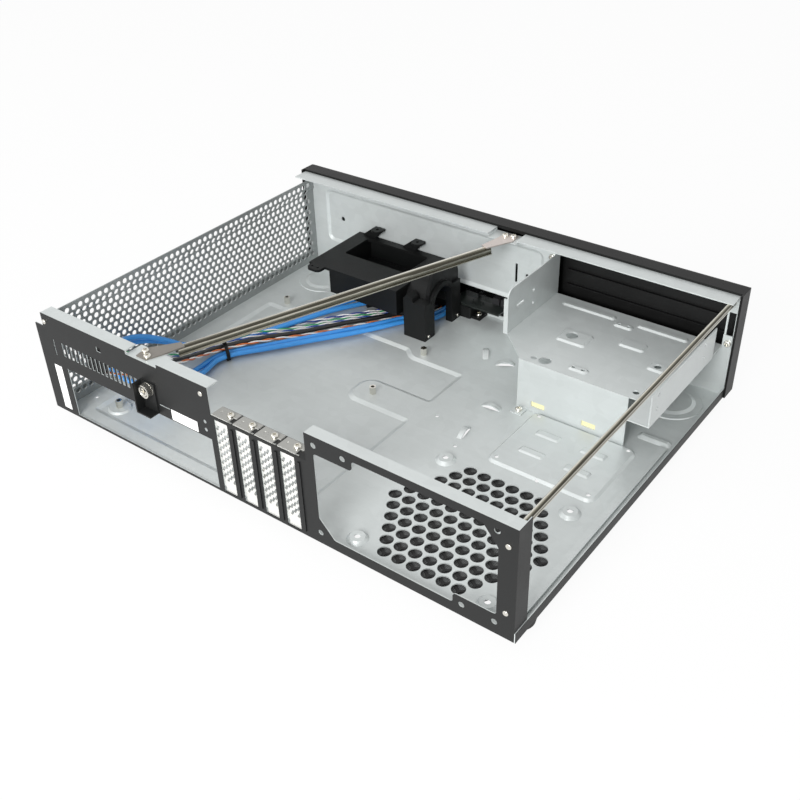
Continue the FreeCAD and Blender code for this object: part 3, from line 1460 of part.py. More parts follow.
cord_routes = {
    "usb_cable_1": (usb_cable, [
        (41.8, -138, 14.5), (41.8, -117.5, 14.5), (62.4, -104.7, 14), (75.7, -81.2, 14.2),
        (90.5, -58.6, 14.4), (112.9, -28.8, 13.6), (135.8, 3, 13.4), (160.3, 36.2, 13.9),
        (155.8, 63, 15), (149.4, 90, 22), (159.4, 114, 35), (181.4, 124, 45.5), (199.9, 112, 49),
        (200.4, 88, 45), (187.9, 67, 34), (174.4, 51.5, 21.5), (164.5, 33.8, 13.9),
        (150.4, -4.2, 16.3), (135.8, -42, 16.3), (123.7, -76.6, 15.6), (108.4, -103, 14.6)]),
    "usb_cable_2": (usb_cable, [
        (36.4, -138, 14.5), (36.4, -115.5, 14.5), (57.9, -100.8, 14), (70.6, -77.6, 14.1),
        (84.8, -55.3, 14.2), (107.9, -25.9, 13.6), (131.2, 5.7, 13.4), (156.2, 38.6, 13.9),
        (149.1, 64, 14.4), (143.4, 92, 18), (153.4, 119, 27), (180.4, 131, 36), (204.2, 118, 41),
        (204.8, 88, 38), (194.4, 64.5, 29), (179.9, 48, 20), (168.6, 31.4, 13.9), (155, -6.9, 16.3),
        (140.8, -44.9, 16.3), (129.1, -79.7, 15.6), (118.9, -107.5, 14.6)]),
    "sound_cable": (sound_cable, [
        (50.8, -138, 14.2), (50.8, -120.5, 14.2), (70.2, -110, 13.8), (86.7, -85.5, 13.8),
        (104.6, -62.1, 13.8), (123.3, -30.2, 14.6), (142.9, 2.4, 18.4), (162.1, 35.2, 18.6),
        (157.4, 62.9, 27.5), (149.9, 86.9, 38.9), (144.9, 110.9, 49.8), (149, 132.3, 56),
        (165.8, 144.9, 58.4)]),
    "power_switch_lead": (lead, [
        (46.3, -138, 14), (46.3, -119, 14), (66.4, -107.6, 13.2), (81.8, -82.7, 13.1),
        (98.8, -58.8, 13), (119.6, -28.1, 13.6), (139.4, 4.4, 18), (158.8, 37.1, 18.4),
        (152.8, 62, 27.5), (144.8, 85.5, 38.4), (139.7, 110.4, 47.5), (145.4, 134.7, 51.5),
        (165.2, 146.8, 52.2)]),
    "reset_switch_lead": (lead, [
        (55.2, -138, 14), (55.2, -122, 14), (73.8, -112.8, 13.2), (91, -88.4, 13.1),
        (109.7, -65.1, 13), (127.2, -32.4, 14.4), (146.5, 0.3, 19.6), (165.3, 33.3, 18.4),
        (161.9, 63.8, 27.5), (154.8, 88.2, 39.5), (149.9, 111.5, 52), (152.6, 129.9, 60.5),
        (166.5, 143, 64.3)]),
    "drive_light_lead": (lead, [
        (59, -138, 14), (59, -123.5, 14), (76.6, -115.4, 13.2), (94.4, -90.8, 13.1),
        (113.7, -67.4, 13), (130.8, -34.5, 13.6), (150, -1.7, 21), (168.1, 31.7, 18.5),
        (166, 64.6, 27.5), (159.3, 89.3, 39.9), (154.3, 112, 54), (155.7, 127.8, 64.4),
        (167, 141.3, 69.7)]),
    "power_light_lead": (lead, [
        (62.6, -138, 14), (62.6, -125, 14), (79.2, -118, 13.2), (97.2, -94.1, 13.1),
        (116.7, -71.4, 13), (142.5, -36.7, 11.5), (162.2, -1.8, 11.6), (173.1, 28.8, 13.2),
        (183.7, 53.9, 11.5), (183.5, 80.6, 11.5)]),
}


def cord_path(points):
    # straight runs joined by tangent arcs, with the tightest radius and the length along it
    corners = [V(*point) for point in points]
    edges = []
    radii = []
    last = corners[0]
    for before, corner, after in zip(corners, corners[1:], corners[2:]):
        back = before - corner
        on = after - corner
        cut = bend_share * min(back.Length, on.Length)
        half = back.getAngle(on) / 2
        back.normalize()
        on.normalize()
        radius = cut * math.tan(half)
        bisector = (back + on).normalize()
        middle = corner + bisector * (radius / math.sin(half) - radius)
        start = corner + back * cut
        end = corner + on * cut
        edges.append(Part.LineSegment(last, start).toShape())
        edges.append(Part.Arc(start, middle, end).toShape())
        radii.append(radius)
        last = end
    edges.append(Part.LineSegment(last, corners[-1]).toShape())
    wire = Part.Wire(edges)
    return wire, min(radii), wire.Length


def cord_tube(name):
    diameter, points = cord_routes[name]
    wire, tightest, length = cord_path(points)
    start = V(*points[0])
    profile = Part.Wire(Part.makeCircle(diameter / 2, start, V(*points[1]) - start))
    tube = wire.makePipeShell([profile], True, False)
    section = math.pi * diameter ** 2 / 4
    print(name, "length", round(length, 1), "tightest radius", round(tightest, 1),
          "volume share", round(tube.Volume / (section * length), 4))
    return tube


def plug(name, size):
    # a shell whose face meets the cord's end, lying along the cord's last run
    points = cord_routes[name][1]
    end = V(*points[-1])
    along = (end - V(*points[-2])).normalize()
    across = along.cross(V(0, 0, 1)).normalize()
    up = across.cross(along)
    length, width, height = size
    corners = [end + across * a * width / 2 + up * b * height / 2
               for a, b in ((-1, -1), (1, -1), (1, 1), (-1, 1))]
    return polygon_plate(corners, along * length)


def cable_tie():
    # a flat band round the bundle, with its head on top
    across = V(math.cos(math.radians(tie_angle)), math.sin(math.radians(tie_angle)), 0)
    along = V(0, 0, 1).cross(across)
    inner = [V(t, z, 0) for t, z in tie_outline]
    outer = inset(inner, -tie_thickness)[0]

    def standing(points):
        return [tie_centre + across * p.x + V(0, 0, p.y) - along * tie_band / 2 for p in points]
    band = plate(standing(outer), tie_band / 2, along * tie_band)
    hole = plate(standing(inner), tie_band / 4, along * tie_band)
    head_low = max(z for t, z in tie_outline)
    head = [V(t, z, 0) for t, z in ((0, head_low), (tie_head, head_low), (tie_head, head_low + tie_head),
                                    (0, head_low + tie_head))]
    return band.cut(hole).fuse(polygon_plate(standing(head), along * tie_band)).removeSplitter()


# Every piece in its own file

board_section, card_section, supply_face, supply_edges = rear_sections()
nodes = {
    "base_pan": base_pan(),
    "cover_rail": cover_rail(),
    "rubber_feet": rubber_feet(),
    "standoffs": standoffs(),
    "vent_filter": vent_filter(),
    "vented_side_wall": vented_side_wall(),
    "rear_panel": board_section,
    "slot_panel": card_section,
    "supply_panel": supply_face,
    "supply_folds": supply_edges,
    "panel_rivets": panel_rivets(),
    "slot_screws": slot_screws(),
    "front_wall": front_wall(),
    "drive_tray": drive_tray(),
    "tray_screws": tray_screws(),
    "tray_pads": tray_pads(),
    "diagonal_brace": diagonal_brace(),
    "rear_end_plate": rear_end_plate(),
    "front_end_plate": front_end_plate(),
    "brace_screws": brace_screws(),
    "side_brace": side_brace(),
    "moulded_bracket": moulded_bracket(),
    "bracket_screws": bracket_screws(),
    "front_io_housing": front_io_housing(),
    "front_io_screw": front_io_screw(),
    "front_io_board": front_io_board(),
    "front_bezel": front_bezel(),
    "bay_cover": bay_cover(),
    "power_button": push_button(button_x, button_radius),
    "reset_button": push_button(reset_x, reset_radius),
    "switch_board": switch_board(),
    "switches": switches(),
    "lock_bracket": lock_bracket(),
    "lock_screw": lock_screw(),
    "side_sticker": sticker_plate(side_sticker_from_vent, side_sticker_width, side_sticker_level,
                                  side_sticker_height),
    "rear_sticker": sticker_plate(rear_sticker_from_vent, rear_sticker_width, rear_sticker_level,
                                  rear_sticker_height),
}
for name in cord_routes:
    nodes[name] = cord_tube(name)
for i in range(2):
    nodes[f"usb_plug_{i + 1}"] = plug(f"usb_cable_{i + 1}", usb_plug_size)
nodes["sound_plug"] = plug("sound_cable", sound_plug_size)
nodes["lead_plugs"] = group([plug(name, lead_plug_size) for name in cord_routes if name.endswith("lead")])
nodes["cable_tie"] = cable_tie()
for i, x in enumerate(slot_centres):
    nodes[f"slot_cover_{i + 1}"] = slot_cover(x)
for i in range(2):
    nodes[f"usb_socket_{i + 1}"] = usb_socket(i)
    nodes[f"sound_socket_{i + 1}"] = sound_socket(i)
    nodes[f"light_pipe_{i + 1}"] = light_pipe(light_xs[i])

for name, shape in nodes.items():
    shape.exportStep(f"parts/{name}.step")
    print(name, len(shape.Solids), "solids", round(shape.Volume), "mm3", "valid" if shape.isValid() else "INVALID")
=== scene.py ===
import math
import bpy
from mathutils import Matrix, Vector


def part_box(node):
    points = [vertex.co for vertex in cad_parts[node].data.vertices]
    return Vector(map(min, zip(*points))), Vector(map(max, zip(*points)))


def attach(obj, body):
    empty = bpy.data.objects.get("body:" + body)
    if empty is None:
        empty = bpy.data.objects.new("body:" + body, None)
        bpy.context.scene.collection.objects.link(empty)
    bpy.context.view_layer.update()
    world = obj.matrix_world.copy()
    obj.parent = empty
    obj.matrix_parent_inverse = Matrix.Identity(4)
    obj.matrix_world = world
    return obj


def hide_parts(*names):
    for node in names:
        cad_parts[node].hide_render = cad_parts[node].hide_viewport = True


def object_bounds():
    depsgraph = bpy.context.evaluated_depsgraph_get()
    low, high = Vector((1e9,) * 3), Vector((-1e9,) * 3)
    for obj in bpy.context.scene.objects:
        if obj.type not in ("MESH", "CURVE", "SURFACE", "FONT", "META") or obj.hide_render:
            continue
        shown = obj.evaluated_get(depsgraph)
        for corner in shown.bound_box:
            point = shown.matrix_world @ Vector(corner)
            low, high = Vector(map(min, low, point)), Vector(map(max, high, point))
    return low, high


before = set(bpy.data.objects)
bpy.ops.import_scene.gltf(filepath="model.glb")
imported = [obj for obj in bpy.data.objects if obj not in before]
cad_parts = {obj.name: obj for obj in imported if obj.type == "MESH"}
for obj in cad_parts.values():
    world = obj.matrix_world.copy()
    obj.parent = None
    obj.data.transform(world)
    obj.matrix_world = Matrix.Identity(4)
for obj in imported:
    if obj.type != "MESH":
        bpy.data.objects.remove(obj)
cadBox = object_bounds()
scene = bpy.context.scene
print("frame loaded with", len(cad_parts), "nodes")

# Camera

shot = {
    "place": (-0.42953, 0.54063, 0.49429),
    "turn": (54.7987, 1.5452, -143.1826),  # degrees
    "lens": 46.6661,
    "sensor": 36.0,
    "near": 0.01,
}


def setCamera():
    turn = [math.radians(angle) for angle in shot["turn"]]
    bpy.ops.object.camera_add(location=shot["place"], rotation=turn)
    camera = bpy.context.object
    camera.name = "camera"
    camera.data.sensor_width = shot["sensor"]
    camera.data.lens = shot["lens"]
    camera.data.clip_start = shot["near"]
    scene.camera = camera


# Node helpers

def addNode(tree, kind, inputs=None, **settings):
    made = tree.nodes.new("ShaderNode" + kind)
    for name, value in settings.items():
        setattr(made, name, value)
    for name, value in (inputs or {}).items():
        if isinstance(value, bpy.types.NodeSocket):
            tree.links.new(value, made.inputs[name])
        else:
            made.inputs[name].default_value = value
    return made


def maths(tree, operation, first, second=0.0, clamp=False):
    return addNode(tree, "Math", {0: first, 1: second}, operation=operation, use_clamp=clamp).outputs[0]


def remap(tree, value, low, high, outLow, outHigh):
    settings = {"Value": value, "From Min": low, "From Max": high, "To Min": outLow, "To Max": outHigh}
    return addNode(tree, "MapRange", settings).outputs["Result"]


def blendColour(tree, mask, first, second):
    # a Mix node keeps its colours in the inputs 6 and 7 and the output 2
    made = addNode(tree, "Mix", {"Factor": mask}, data_type="RGBA")
    for index, value in ((6, first), (7, second)):
        if isinstance(value, bpy.types.NodeSocket):
            tree.links.new(value, made.inputs[index])
        else:
            made.inputs[index].default_value = (*value, 1.0)
    return made.outputs[2]


def objectPlace(tree):
    return addNode(tree, "TexCoord").outputs["Object"]


def startGroup(name, inputs, outputs):
    group = bpy.data.node_groups.new(name, "ShaderNodeTree")
    for label, value in inputs.items():
        socket = group.interface.new_socket(label, in_out="INPUT", socket_type="NodeSocketFloat")
        socket.default_value = value
    for label in outputs:
        group.interface.new_socket(label, in_out="OUTPUT", socket_type="NodeSocketFloat")
    return group, group.nodes.new("NodeGroupInput").outputs, group.nodes.new("NodeGroupOutput")


def useGroup(tree, group, **values):
    made = tree.nodes.new("ShaderNodeGroup")
    made.node_tree = group
    for label, value in values.items():
        made.inputs[label].default_value = value
    return made.outputs


def noiseAt(tree, place, scale, detail=2.0, roughness=0.5):
    settings = {"Vector": place, "Scale": scale, "Detail": detail, "Roughness": roughness}
    return addNode(tree, "TexNoise", settings).outputs["Fac"]


def stretchPlace(tree, place, scale, turn=(0.0, 0.0, 0.0)):
    return addNode(tree, "Mapping", {"Vector": place, "Rotation": turn, "Scale": scale}).outputs["Vector"]


def weighted(tree, *parts):
    # the sum of several values, each with its share
    total = 0.0
    for value, share in parts:
        total = maths(tree, "ADD", maths(tree, "MULTIPLY", value, share), total)
    return total


# Shared surface effects, whose noises are given by scale, detail and roughness

sheetSurface = {
    "cloud": (14.0, 3.0, 0.6),
    "spangle": 110.0,
    "rolling": 260.0,
    "rollingDetail": (4.0, 0.65),
    "rollingStretch": (0.06, 1.0, 1.0),
    "cloudShare": 0.5,
    "flakeShare": 0.18,
    "rollingShare": 0.32,
    "smudge": (32.0, 5.0, 0.7),
    "smudgeSpan": (0.52, 0.74),
    "pits": (1500.0, 2.0),
}
mouldGrain = {
    "scale": 1800.0,
    "broad": (40.0, 4.0, 0.6),
    "broadShare": 0.7,
    "fineShare": 0.3,
}
scuffs = {
    "length": 30.0,
    "cover": 0.3,
    "turn": (0.5, 0.3, 0.7),
    "stretch": (0.08, 1.0, 1.0),
    "thin": (900.0, 1.0),
    "thinSpan": (0.7, 0.78),
    "patchDetail": 3.0,
    "patchSpan": (0.5, 0.65),
}


def makeSheetGroup():
    inputs = {"Spangle": sheetSurface["spangle"], "Rolling": sheetSurface["rolling"]}
    group, given, out = startGroup("sheetSurface", inputs, ("Tone", "Smudge", "Height"))
    place = objectPlace(group)
    cloud = noiseAt(group, place, *sheetSurface["cloud"])
    spangle = addNode(group, "TexVoronoi", {"Vector": place, "Scale": given["Spangle"]})
    flake = addNode(group, "SeparateColor", {"Color": spangle.outputs["Color"]}).outputs["Red"]
    stretched = stretchPlace(group, place, sheetSurface["rollingStretch"])
    rolling = noiseAt(group, stretched, given["Rolling"], *sheetSurface["rollingDetail"])
    tone = weighted(group, (cloud, sheetSurface["cloudShare"]), (flake, sheetSurface["flakeShare"]),
                    (rolling, sheetSurface["rollingShare"]))
    patches = noiseAt(group, place, *sheetSurface["smudge"])
    smudge = remap(group, patches, *sheetSurface["smudgeSpan"], 0.0, 1.0)
    pits = noiseAt(group, place, *sheetSurface["pits"])
    for label, value in (("Tone", tone), ("Smudge", smudge), ("Height", pits)):
        group.links.new(value, out.inputs[label])
    return group


def makeGrainGroup():
    group, given, out = startGroup("mouldGrain", {"Scale": mouldGrain["scale"]}, ("Tone", "Height"))
    place = objectPlace(group)
    fine = addNode(group, "TexVoronoi", {"Vector": place, "Scale": given["Scale"]}).outputs["Distance"]
    broad = noiseAt(group, place, *mouldGrain["broad"])
    tone = weighted(group, (broad, mouldGrain["broadShare"]), (fine, mouldGrain["fineShare"]))
    group.links.new(tone, out.inputs["Tone"])
    group.links.new(fine, out.inputs["Height"])
    return group


def makeScuffGroup():
    inputs = {"Length": scuffs["length"], "Cover": scuffs["cover"]}
    group, given, out = startGroup("scuffs", inputs, ("Mask",))
    place = objectPlace(group)
    thin = noiseAt(group, stretchPlace(group, place, scuffs["stretch"], scuffs["turn"]), *scuffs["thin"])
    patch = noiseAt(group, place, given["Length"], scuffs["patchDetail"])
    line = remap(group, thin, *scuffs["thinSpan"], 0.0, 1.0)
    here = remap(group, patch, *scuffs["patchSpan"], 0.0, 1.0)
    mask = maths(group, "MULTIPLY", maths(group, "MULTIPLY", line, here), given["Cover"], True)
    group.links.new(mask, out.inputs["Mask"])
    return group


sheetGroup = makeSheetGroup()
grainGroup = makeGrainGroup()
scuffGroup = makeScuffGroup()
print("shared surface effects built")

# Finishes

toneSpan = (0.2, 0.8)
bumpDepth = 0.0001
facingLimit = 0.5
sheetLook = {
    "dark": (0.51, 0.54, 0.535),
    "light": (0.665, 0.7, 0.695),
    "smooth": 0.34,
    "rough": 0.48,
    "metal": 0.36,
    "smudgeShare": 0.5,
    "wornSpan": (0.2, 1.1),
    "bump": 0.12,
}
paintLook = {
    "dark": (0.006, 0.0065, 0.0065),
    "light": (0.013, 0.0135, 0.0135),
    "smooth": 0.42,
    "rough": 0.56,
    "shine": 0.32,
    "grain": 1300.0,
    "bump": 0.15,
}


def startMaterial(name, **sockets):
    material = bpy.data.materials.new(name)
    material.use_nodes = True
    shader = material.node_tree.nodes["Principled BSDF"]
    for label, value in sockets.items():
        shader.inputs[label.replace("_", " ")].default_value = value
    return material, material.node_tree, shader


def connect(tree, shader, **sources):
    for label, source in sources.items():
        tree.links.new(source, shader.inputs[label.replace("_", " ")])


def addBump(tree, shader, height, strength, distance=bumpDepth):
    bump = addNode(tree, "Bump", {"Height": height, "Strength": strength, "Distance": distance})
    connect(tree, shader, Normal=bump.outputs["Normal"])


def scuffMask(tree, look):
    return useGroup(tree, scuffGroup, Length=look["scuffLength"], Cover=look["scuffCover"])["Mask"]


def sheetColours(tree, shade=1.0):
    surface = useGroup(tree, sheetGroup)
    # a shade below 1 darkens both colours of the bare sheet, as painted shade
    dark, light = ([part * shade for part in sheetLook[end]] for end in ("dark", "light"))
    colour = blendColour(tree, surface["Tone"], dark, light)
    smudge = maths(tree, "MULTIPLY", surface["Smudge"], sheetLook["smudgeShare"])
    worn = maths(tree, "ADD", surface["Tone"], smudge)
    rough = remap(tree, worn, *sheetLook["wornSpan"], sheetLook["smooth"], sheetLook["rough"])
    return colour, rough, surface["Height"]


def paintColours(tree):
    grain = useGroup(tree, grainGroup, Scale=paintLook["grain"])
    colour = blendColour(tree, grain["Tone"], paintLook["dark"], paintLook["light"])
    rough = remap(tree, grain["Tone"], *toneSpan, paintLook["smooth"], paintLook["rough"])
    return colour, rough, grain["Height"]


def makeGalvanised():
    material, tree, shader = startMaterial("galvanisedSheet", Metallic=sheetLook["metal"])
    colour, rough, height = sheetColours(tree)
    connect(tree, shader, Base_Color=colour, Roughness=rough)
    addBump(tree, shader, height, sheetLook["bump"])
    return material


def outsideMask(tree, sides):
    # 1 beyond a plane, given as axis, direction and place, or on faces that look that way where place is None
    split = addNode(tree, "SeparateXYZ", {"Vector": objectPlace(tree)}).outputs
    facing = addNode(tree, "SeparateXYZ", {"Vector": addNode(tree, "TexCoord").outputs["Normal"]}).outputs
    mask = None
    for axis, direction, limit in sides:
        source = facing if limit is None else split
        value = maths(tree, "MULTIPLY", source[axis], direction)
        test = maths(tree, "GREATER_THAN", value, facingLimit if limit is None else limit * direction)
        mask = test if mask is None else maths(tree, "MAXIMUM", mask, test)
    return mask


def mixValues(tree, mask, first, second):
    return addNode(tree, "Mix", {"Factor": mask, "A": first, "B": second}).outputs["Result"]


def makePaintedOutside(name, sides, shade=1.0):
    # black paint on the given sides of a sheet that is bare elsewhere; a shade below 1 darkens the bare sheet
    # as painted shade
    material, tree, shader = startMaterial(name, Specular_IOR_Level=paintLook["shine"])
    mask = outsideMask(tree, sides)
    steel, steelRough, steelHeight = sheetColours(tree, shade)
    paint, paintRough, paintHeight = paintColours(tree)
    connect(tree, shader, Base_Color=blendColour(tree, mask, steel, paint),
            Roughness=mixValues(tree, mask, steelRough, paintRough),
            Metallic=remap(tree, mask, 0.0, 1.0, sheetLook["metal"], 0.0))
    addBump(tree, shader, mixValues(tree, mask, steelHeight, paintHeight), paintLook["bump"])
    return material


planeSlack = 0.00035
rivetRise = 0.001  # of the rivet heads off the rear face
# the bare inside of the vented wall is darkened to half, as painted shade
ventedWallPaintedShade = 0.5
everywhere = [(0, 1, -9.0)]  # beyond a plane that lies far off
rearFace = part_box("panel_rivets")[1].y - rivetRise
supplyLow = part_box("supply_folds")[0]
panLow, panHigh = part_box("base_pan")
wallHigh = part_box("vented_side_wall")[1]

rearSide = (1, 1, rearFace - planeSlack)
panSides = [(2, -1, None), (0, 1, panHigh.x - planeSlack), (0, -1, panLow.x + planeSlack)]
wallSides = [(1, 1, wallHigh.y - planeSlack), (0, 1, None)]
galvanised = makeGalvanised()
panFinish = makePaintedOutside("paintedPan", panSides)
rearFinish = makePaintedOutside("paintedRearPanel", [rearSide, (0, -1, supplyLow.x + planeSlack)])
# the faces of the slot panel that look up are painted black as painted shade, so the gaps between the tabs
# read dark
slotPaintAndShelfShade = makePaintedOutside("paintedSlotPanelAndShelfShade", [rearSide, (2, 1, None)])
ventedWallFinishAndPaintedShade = makePaintedOutside("paintedVentedWallShadedInside", wallSides, ventedWallPaintedShade)
lockPaint = makePaintedOutside("paintedLockBracket", everywhere)

platedLook = {
    "lines": (700.0, 4.0, 0.7),
    "cloud": (45.0, 3.0),
    "lineShare": 0.6,
    "cloudShare": 0.4,
    "scuffLength": 60.0,
    "scuffCover": 0.5,
    "roughSpan": (0.3, 1.2),
    "bump": 0.08,
}
plates = {
    # the faces of the slot covers that look up are darkened, as painted shade
    "brightSlotPlate": {"dark": (0.68, 0.68, 0.65), "light": (0.8, 0.8, 0.77), "smooth": 0.26, "rough": 0.38,
                        "along": (1.0, 1.0, 0.03), "metal": 0.45, "paintedShadeOnTop": (0.36, 0.36, 0.34)},
    "taupeEndPlate": {"dark": (0.19, 0.175, 0.155), "light": (0.28, 0.26, 0.235), "smooth": 0.28,
                      "rough": 0.42, "metal": 0.6},
    "nickelEndPlate": {"dark": (0.5, 0.44, 0.41), "light": (0.68, 0.62, 0.58), "smooth": 0.26, "rough": 0.4,
                       "metal": 0.7},
    "screwNickel": {"dark": (0.6, 0.58, 0.52), "light": (0.85, 0.83, 0.77), "smooth": 0.14, "rough": 0.28},
    "socketShell": {"dark": (0.6, 0.6, 0.61), "light": (0.82, 0.82, 0.83), "smooth": 0.18, "rough": 0.3},
    "goldContact": {"dark": (0.72, 0.5, 0.17), "light": (0.9, 0.68, 0.3), "smooth": 0.16, "rough": 0.28,
                    "along": (1.0, 0.05, 1.0)},
}


def makePlated(name, dark, light, smooth, rough, along=(1.0, 1.0, 0.05), metal=1.0, paintedShadeOnTop=None):
    # plated steel with fine lines along one way, and a darker colour painted as shade on faces that look up
    # if one is given
    material, tree, shader = startMaterial(name, Metallic=metal)
    lines = noiseAt(tree, stretchPlace(tree, objectPlace(tree), along), *platedLook["lines"])
    cloud = noiseAt(tree, objectPlace(tree), *platedLook["cloud"])
    tone = weighted(tree, (lines, platedLook["lineShare"]), (cloud, platedLook["cloudShare"]))
    colour = blendColour(tree, tone, dark, light)
    if paintedShadeOnTop:
        # faces that look up take the darker colour, as painted shade
        colour = blendColour(tree, outsideMask(tree, [(2, 1, None)]), colour, paintedShadeOnTop)
    spread = maths(tree, "ADD", tone, scuffMask(tree, platedLook))
    connect(tree, shader, Base_Color=colour,
            Roughness=remap(tree, spread, *platedLook["roughSpan"], smooth, rough))
    addBump(tree, shader, lines, platedLook["bump"])
    return material


barLook = {
    "bright": (0.8, 0.78, 0.71),
    "pale": (0.55, 0.53, 0.46),
    "olive": (0.21, 0.2, 0.155),
    "dark": (0.06, 0.056, 0.042),
    # stripes of painted highlight, painted reflection and painted shade across the bar, from one edge to the
    # other
    "paintedSheenBands": ((0.014, "pale"), (0.062, "pale"), (0.1, "dark"), (0.19, "olive"), (0.262, "pale"),
              (0.29, "dark"), (0.405, "dark"), (0.471, "olive"), (0.529, "pale"), (0.595, "bright"),
              (0.67, "pale"), (0.738, "olive"), (0.91, "dark"), (0.976, "pale")),
    "waver": 0.03,
    "metal": 0.85,
    "stretch": (0.03, 1.0, 1.0),
    "lineSpan": (0.3, 0.7),
    "smooth": 0.2,
    "rough": 0.32,
    "braceReach": 0.0105,
    "sideReach": 0.006,
}


def makeBarWithPaintedSheen(name, node, way, reach):
    # a polished channel, whose bronze colours are laid in stripes of painted highlight, painted reflection
    # and painted shade from one edge over its back to the other
    low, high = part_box(node)
    middle = (low + high) / 2
    material, tree, shader = startMaterial(name, Metallic=barLook["metal"])
    turning = {"Vector": objectPlace(tree), "Center": middle, "Angle": -math.atan2(way.y, way.x)}
    turned = addNode(tree, "VectorRotate", turning).outputs["Vector"]
    lines = noiseAt(tree, stretchPlace(tree, turned, barLook["stretch"]), *platedLook["lines"])
    split = addNode(tree, "SeparateXYZ", {"Vector": turned}).outputs
    across = maths(tree, "SUBTRACT", split["Y"], middle.y)
    drop = maths(tree, "SUBTRACT", high.z, split["Z"])
    travel = maths(tree, "ADD", maths(tree, "ABSOLUTE", across), drop)
    share = remap(tree, maths(tree, "MULTIPLY", travel, maths(tree, "SIGN", across)), -reach, reach, 0.0, 1.0)
    waver = remap(tree, lines, *barLook["lineSpan"], -barLook["waver"], barLook["waver"])
    ramp = addNode(tree, "ValToRGB", {"Fac": maths(tree, "ADD", share, waver)})
    stops = ramp.color_ramp.elements
    while len(stops) < len(barLook["paintedSheenBands"]):
        stops.new(1.0)
    for stop, (position, tone) in zip(stops, barLook["paintedSheenBands"]):
        stop.position = position
        stop.color = (*barLook[tone], 1.0)
    rough = remap(tree, lines, *barLook["lineSpan"], barLook["smooth"], barLook["rough"])
    connect(tree, shader, Base_Color=ramp.outputs["Color"], Roughness=rough)
    return material


plated = {name: makePlated(name, **look) for name, look in plates.items()}
braceWay = sum(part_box("front_end_plate"), Vector()) - sum(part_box("rear_end_plate"), Vector())
sideWay = Vector((0.0, -1.0, 0.0))
bracePlate = makeBarWithPaintedSheen("bronzeBrace", "diagonal_brace", braceWay, barLook["braceReach"])
sideBracePlate = makeBarWithPaintedSheen("nickelSideBrace", "side_brace", sideWay, barLook["sideReach"])

mouldedLook = {"scuffLength": 40.0, "scuffCover": 0.35, "bumpDepth": 0.00015}
insulation = {"smooth": 0.3, "rough": 0.42, "grain": 2200.0, "depth": 0.05}
mouldings = {
    "bracketMoulding": {"dark": (0.003, 0.0034, 0.0034), "light": (0.008, 0.0085, 0.0085), "smooth": 0.4,
                        "rough": 0.54, "shine": 0.2},
    "bezelMoulding": {"dark": (0.004, 0.004, 0.004), "light": (0.009, 0.009, 0.009), "smooth": 0.38,
                      "rough": 0.5, "grain": 1200.0, "depth": 0.15, "shine": 0.2},
    "footRubber": {"dark": (0.008, 0.008, 0.008), "light": (0.02, 0.02, 0.02), "smooth": 0.7, "rough": 0.85,
                   "grain": 900.0, "depth": 0.4},
    "boardMask": {"dark": (0.006, 0.008, 0.007), "light": (0.016, 0.02, 0.018), "smooth": 0.3, "rough": 0.42,
                  "grain": 2600.0, "depth": 0.05},
    "socketMoulding": {"dark": (0.015, 0.015, 0.016), "light": (0.03, 0.03, 0.032), "smooth": 0.35,
                       "rough": 0.45, "grain": 2600.0, "depth": 0.08},
    "yellowFoam": {"dark": (0.72, 0.66, 0.32), "light": (0.88, 0.84, 0.55), "smooth": 0.75, "rough": 0.9,
                   "grain": 1400.0, "depth": 0.6},
    "stickerPaper": {"dark": (0.8, 0.8, 0.79), "light": (0.9, 0.9, 0.89), "smooth": 0.45, "rough": 0.55,
                     "grain": 3200.0, "depth": 0.04},
    "blueJacket": {"dark": (0.03, 0.25, 0.68), "light": (0.07, 0.36, 0.86), "smooth": 0.28, "rough": 0.4,
                   "grain": 1600.0, "depth": 0.05},
    "blackJacket": {"dark": (0.008, 0.008, 0.008), "light": (0.02, 0.02, 0.02), "smooth": 0.3, "rough": 0.42,
                    "grain": 1600.0, "depth": 0.05},
    "whiteInsulation": {"dark": (0.84, 0.83, 0.81), "light": (0.94, 0.93, 0.91), **insulation},
}


def makeMoulded(name, dark, light, smooth, rough, grain=1800.0, depth=0.2, shine=0.5):
    # grained plastic, rubber or paper with light scuffs
    material, tree, shader = startMaterial(name, Specular_IOR_Level=shine)
    grained = useGroup(tree, grainGroup, Scale=grain)
    tone = maths(tree, "ADD", grained["Tone"], scuffMask(tree, mouldedLook), True)
    connect(tree, shader, Base_Color=blendColour(tree, tone, dark, light),
            Roughness=remap(tree, grained["Tone"], *toneSpan, smooth, rough))
    addBump(tree, shader, grained["Height"], depth, mouldedLook["bumpDepth"])
    return material


moulded = {name: makeMoulded(name, **look) for name, look in mouldings.items()}

filterLook = {
    "rough": 0.6,
    "shine": 0.3,
    "sheetRise": 0.0009,
    "threadRate": 2600.0,
    "threads": ((0.16, 0.165, 0.165), (0.04, 0.04, 0.04)),
    "ribs": ((0.008, 0.008, 0.008), (0.02, 0.02, 0.02)),
}


def makeFilterMesh():
    # black ribs, and between them a grey sheet of fine threads, told apart by height
    material, tree, shader = startMaterial("filterMesh", Roughness=filterLook["rough"],
                                           Specular_IOR_Level=filterLook["shine"])
    place = addNode(tree, "SeparateXYZ", {"Vector": objectPlace(tree)}).outputs
    sheet = maths(tree, "LESS_THAN", place["Z"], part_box("vent_filter")[0].z + filterLook["sheetRise"])
    waves = []
    for axis in "XY":
        turn = maths(tree, "MULTIPLY", place[axis], filterLook["threadRate"])
        waves.append(maths(tree, "ABSOLUTE", maths(tree, "SINE", turn)))
    mesh = blendColour(tree, maths(tree, "MULTIPLY", *waves), *filterLook["threads"])
    ribs = blendColour(tree, useGroup(tree, grainGroup)["Tone"], *filterLook["ribs"])
    connect(tree, shader, Base_Color=blendColour(tree, sheet, ribs, mesh))
    return material


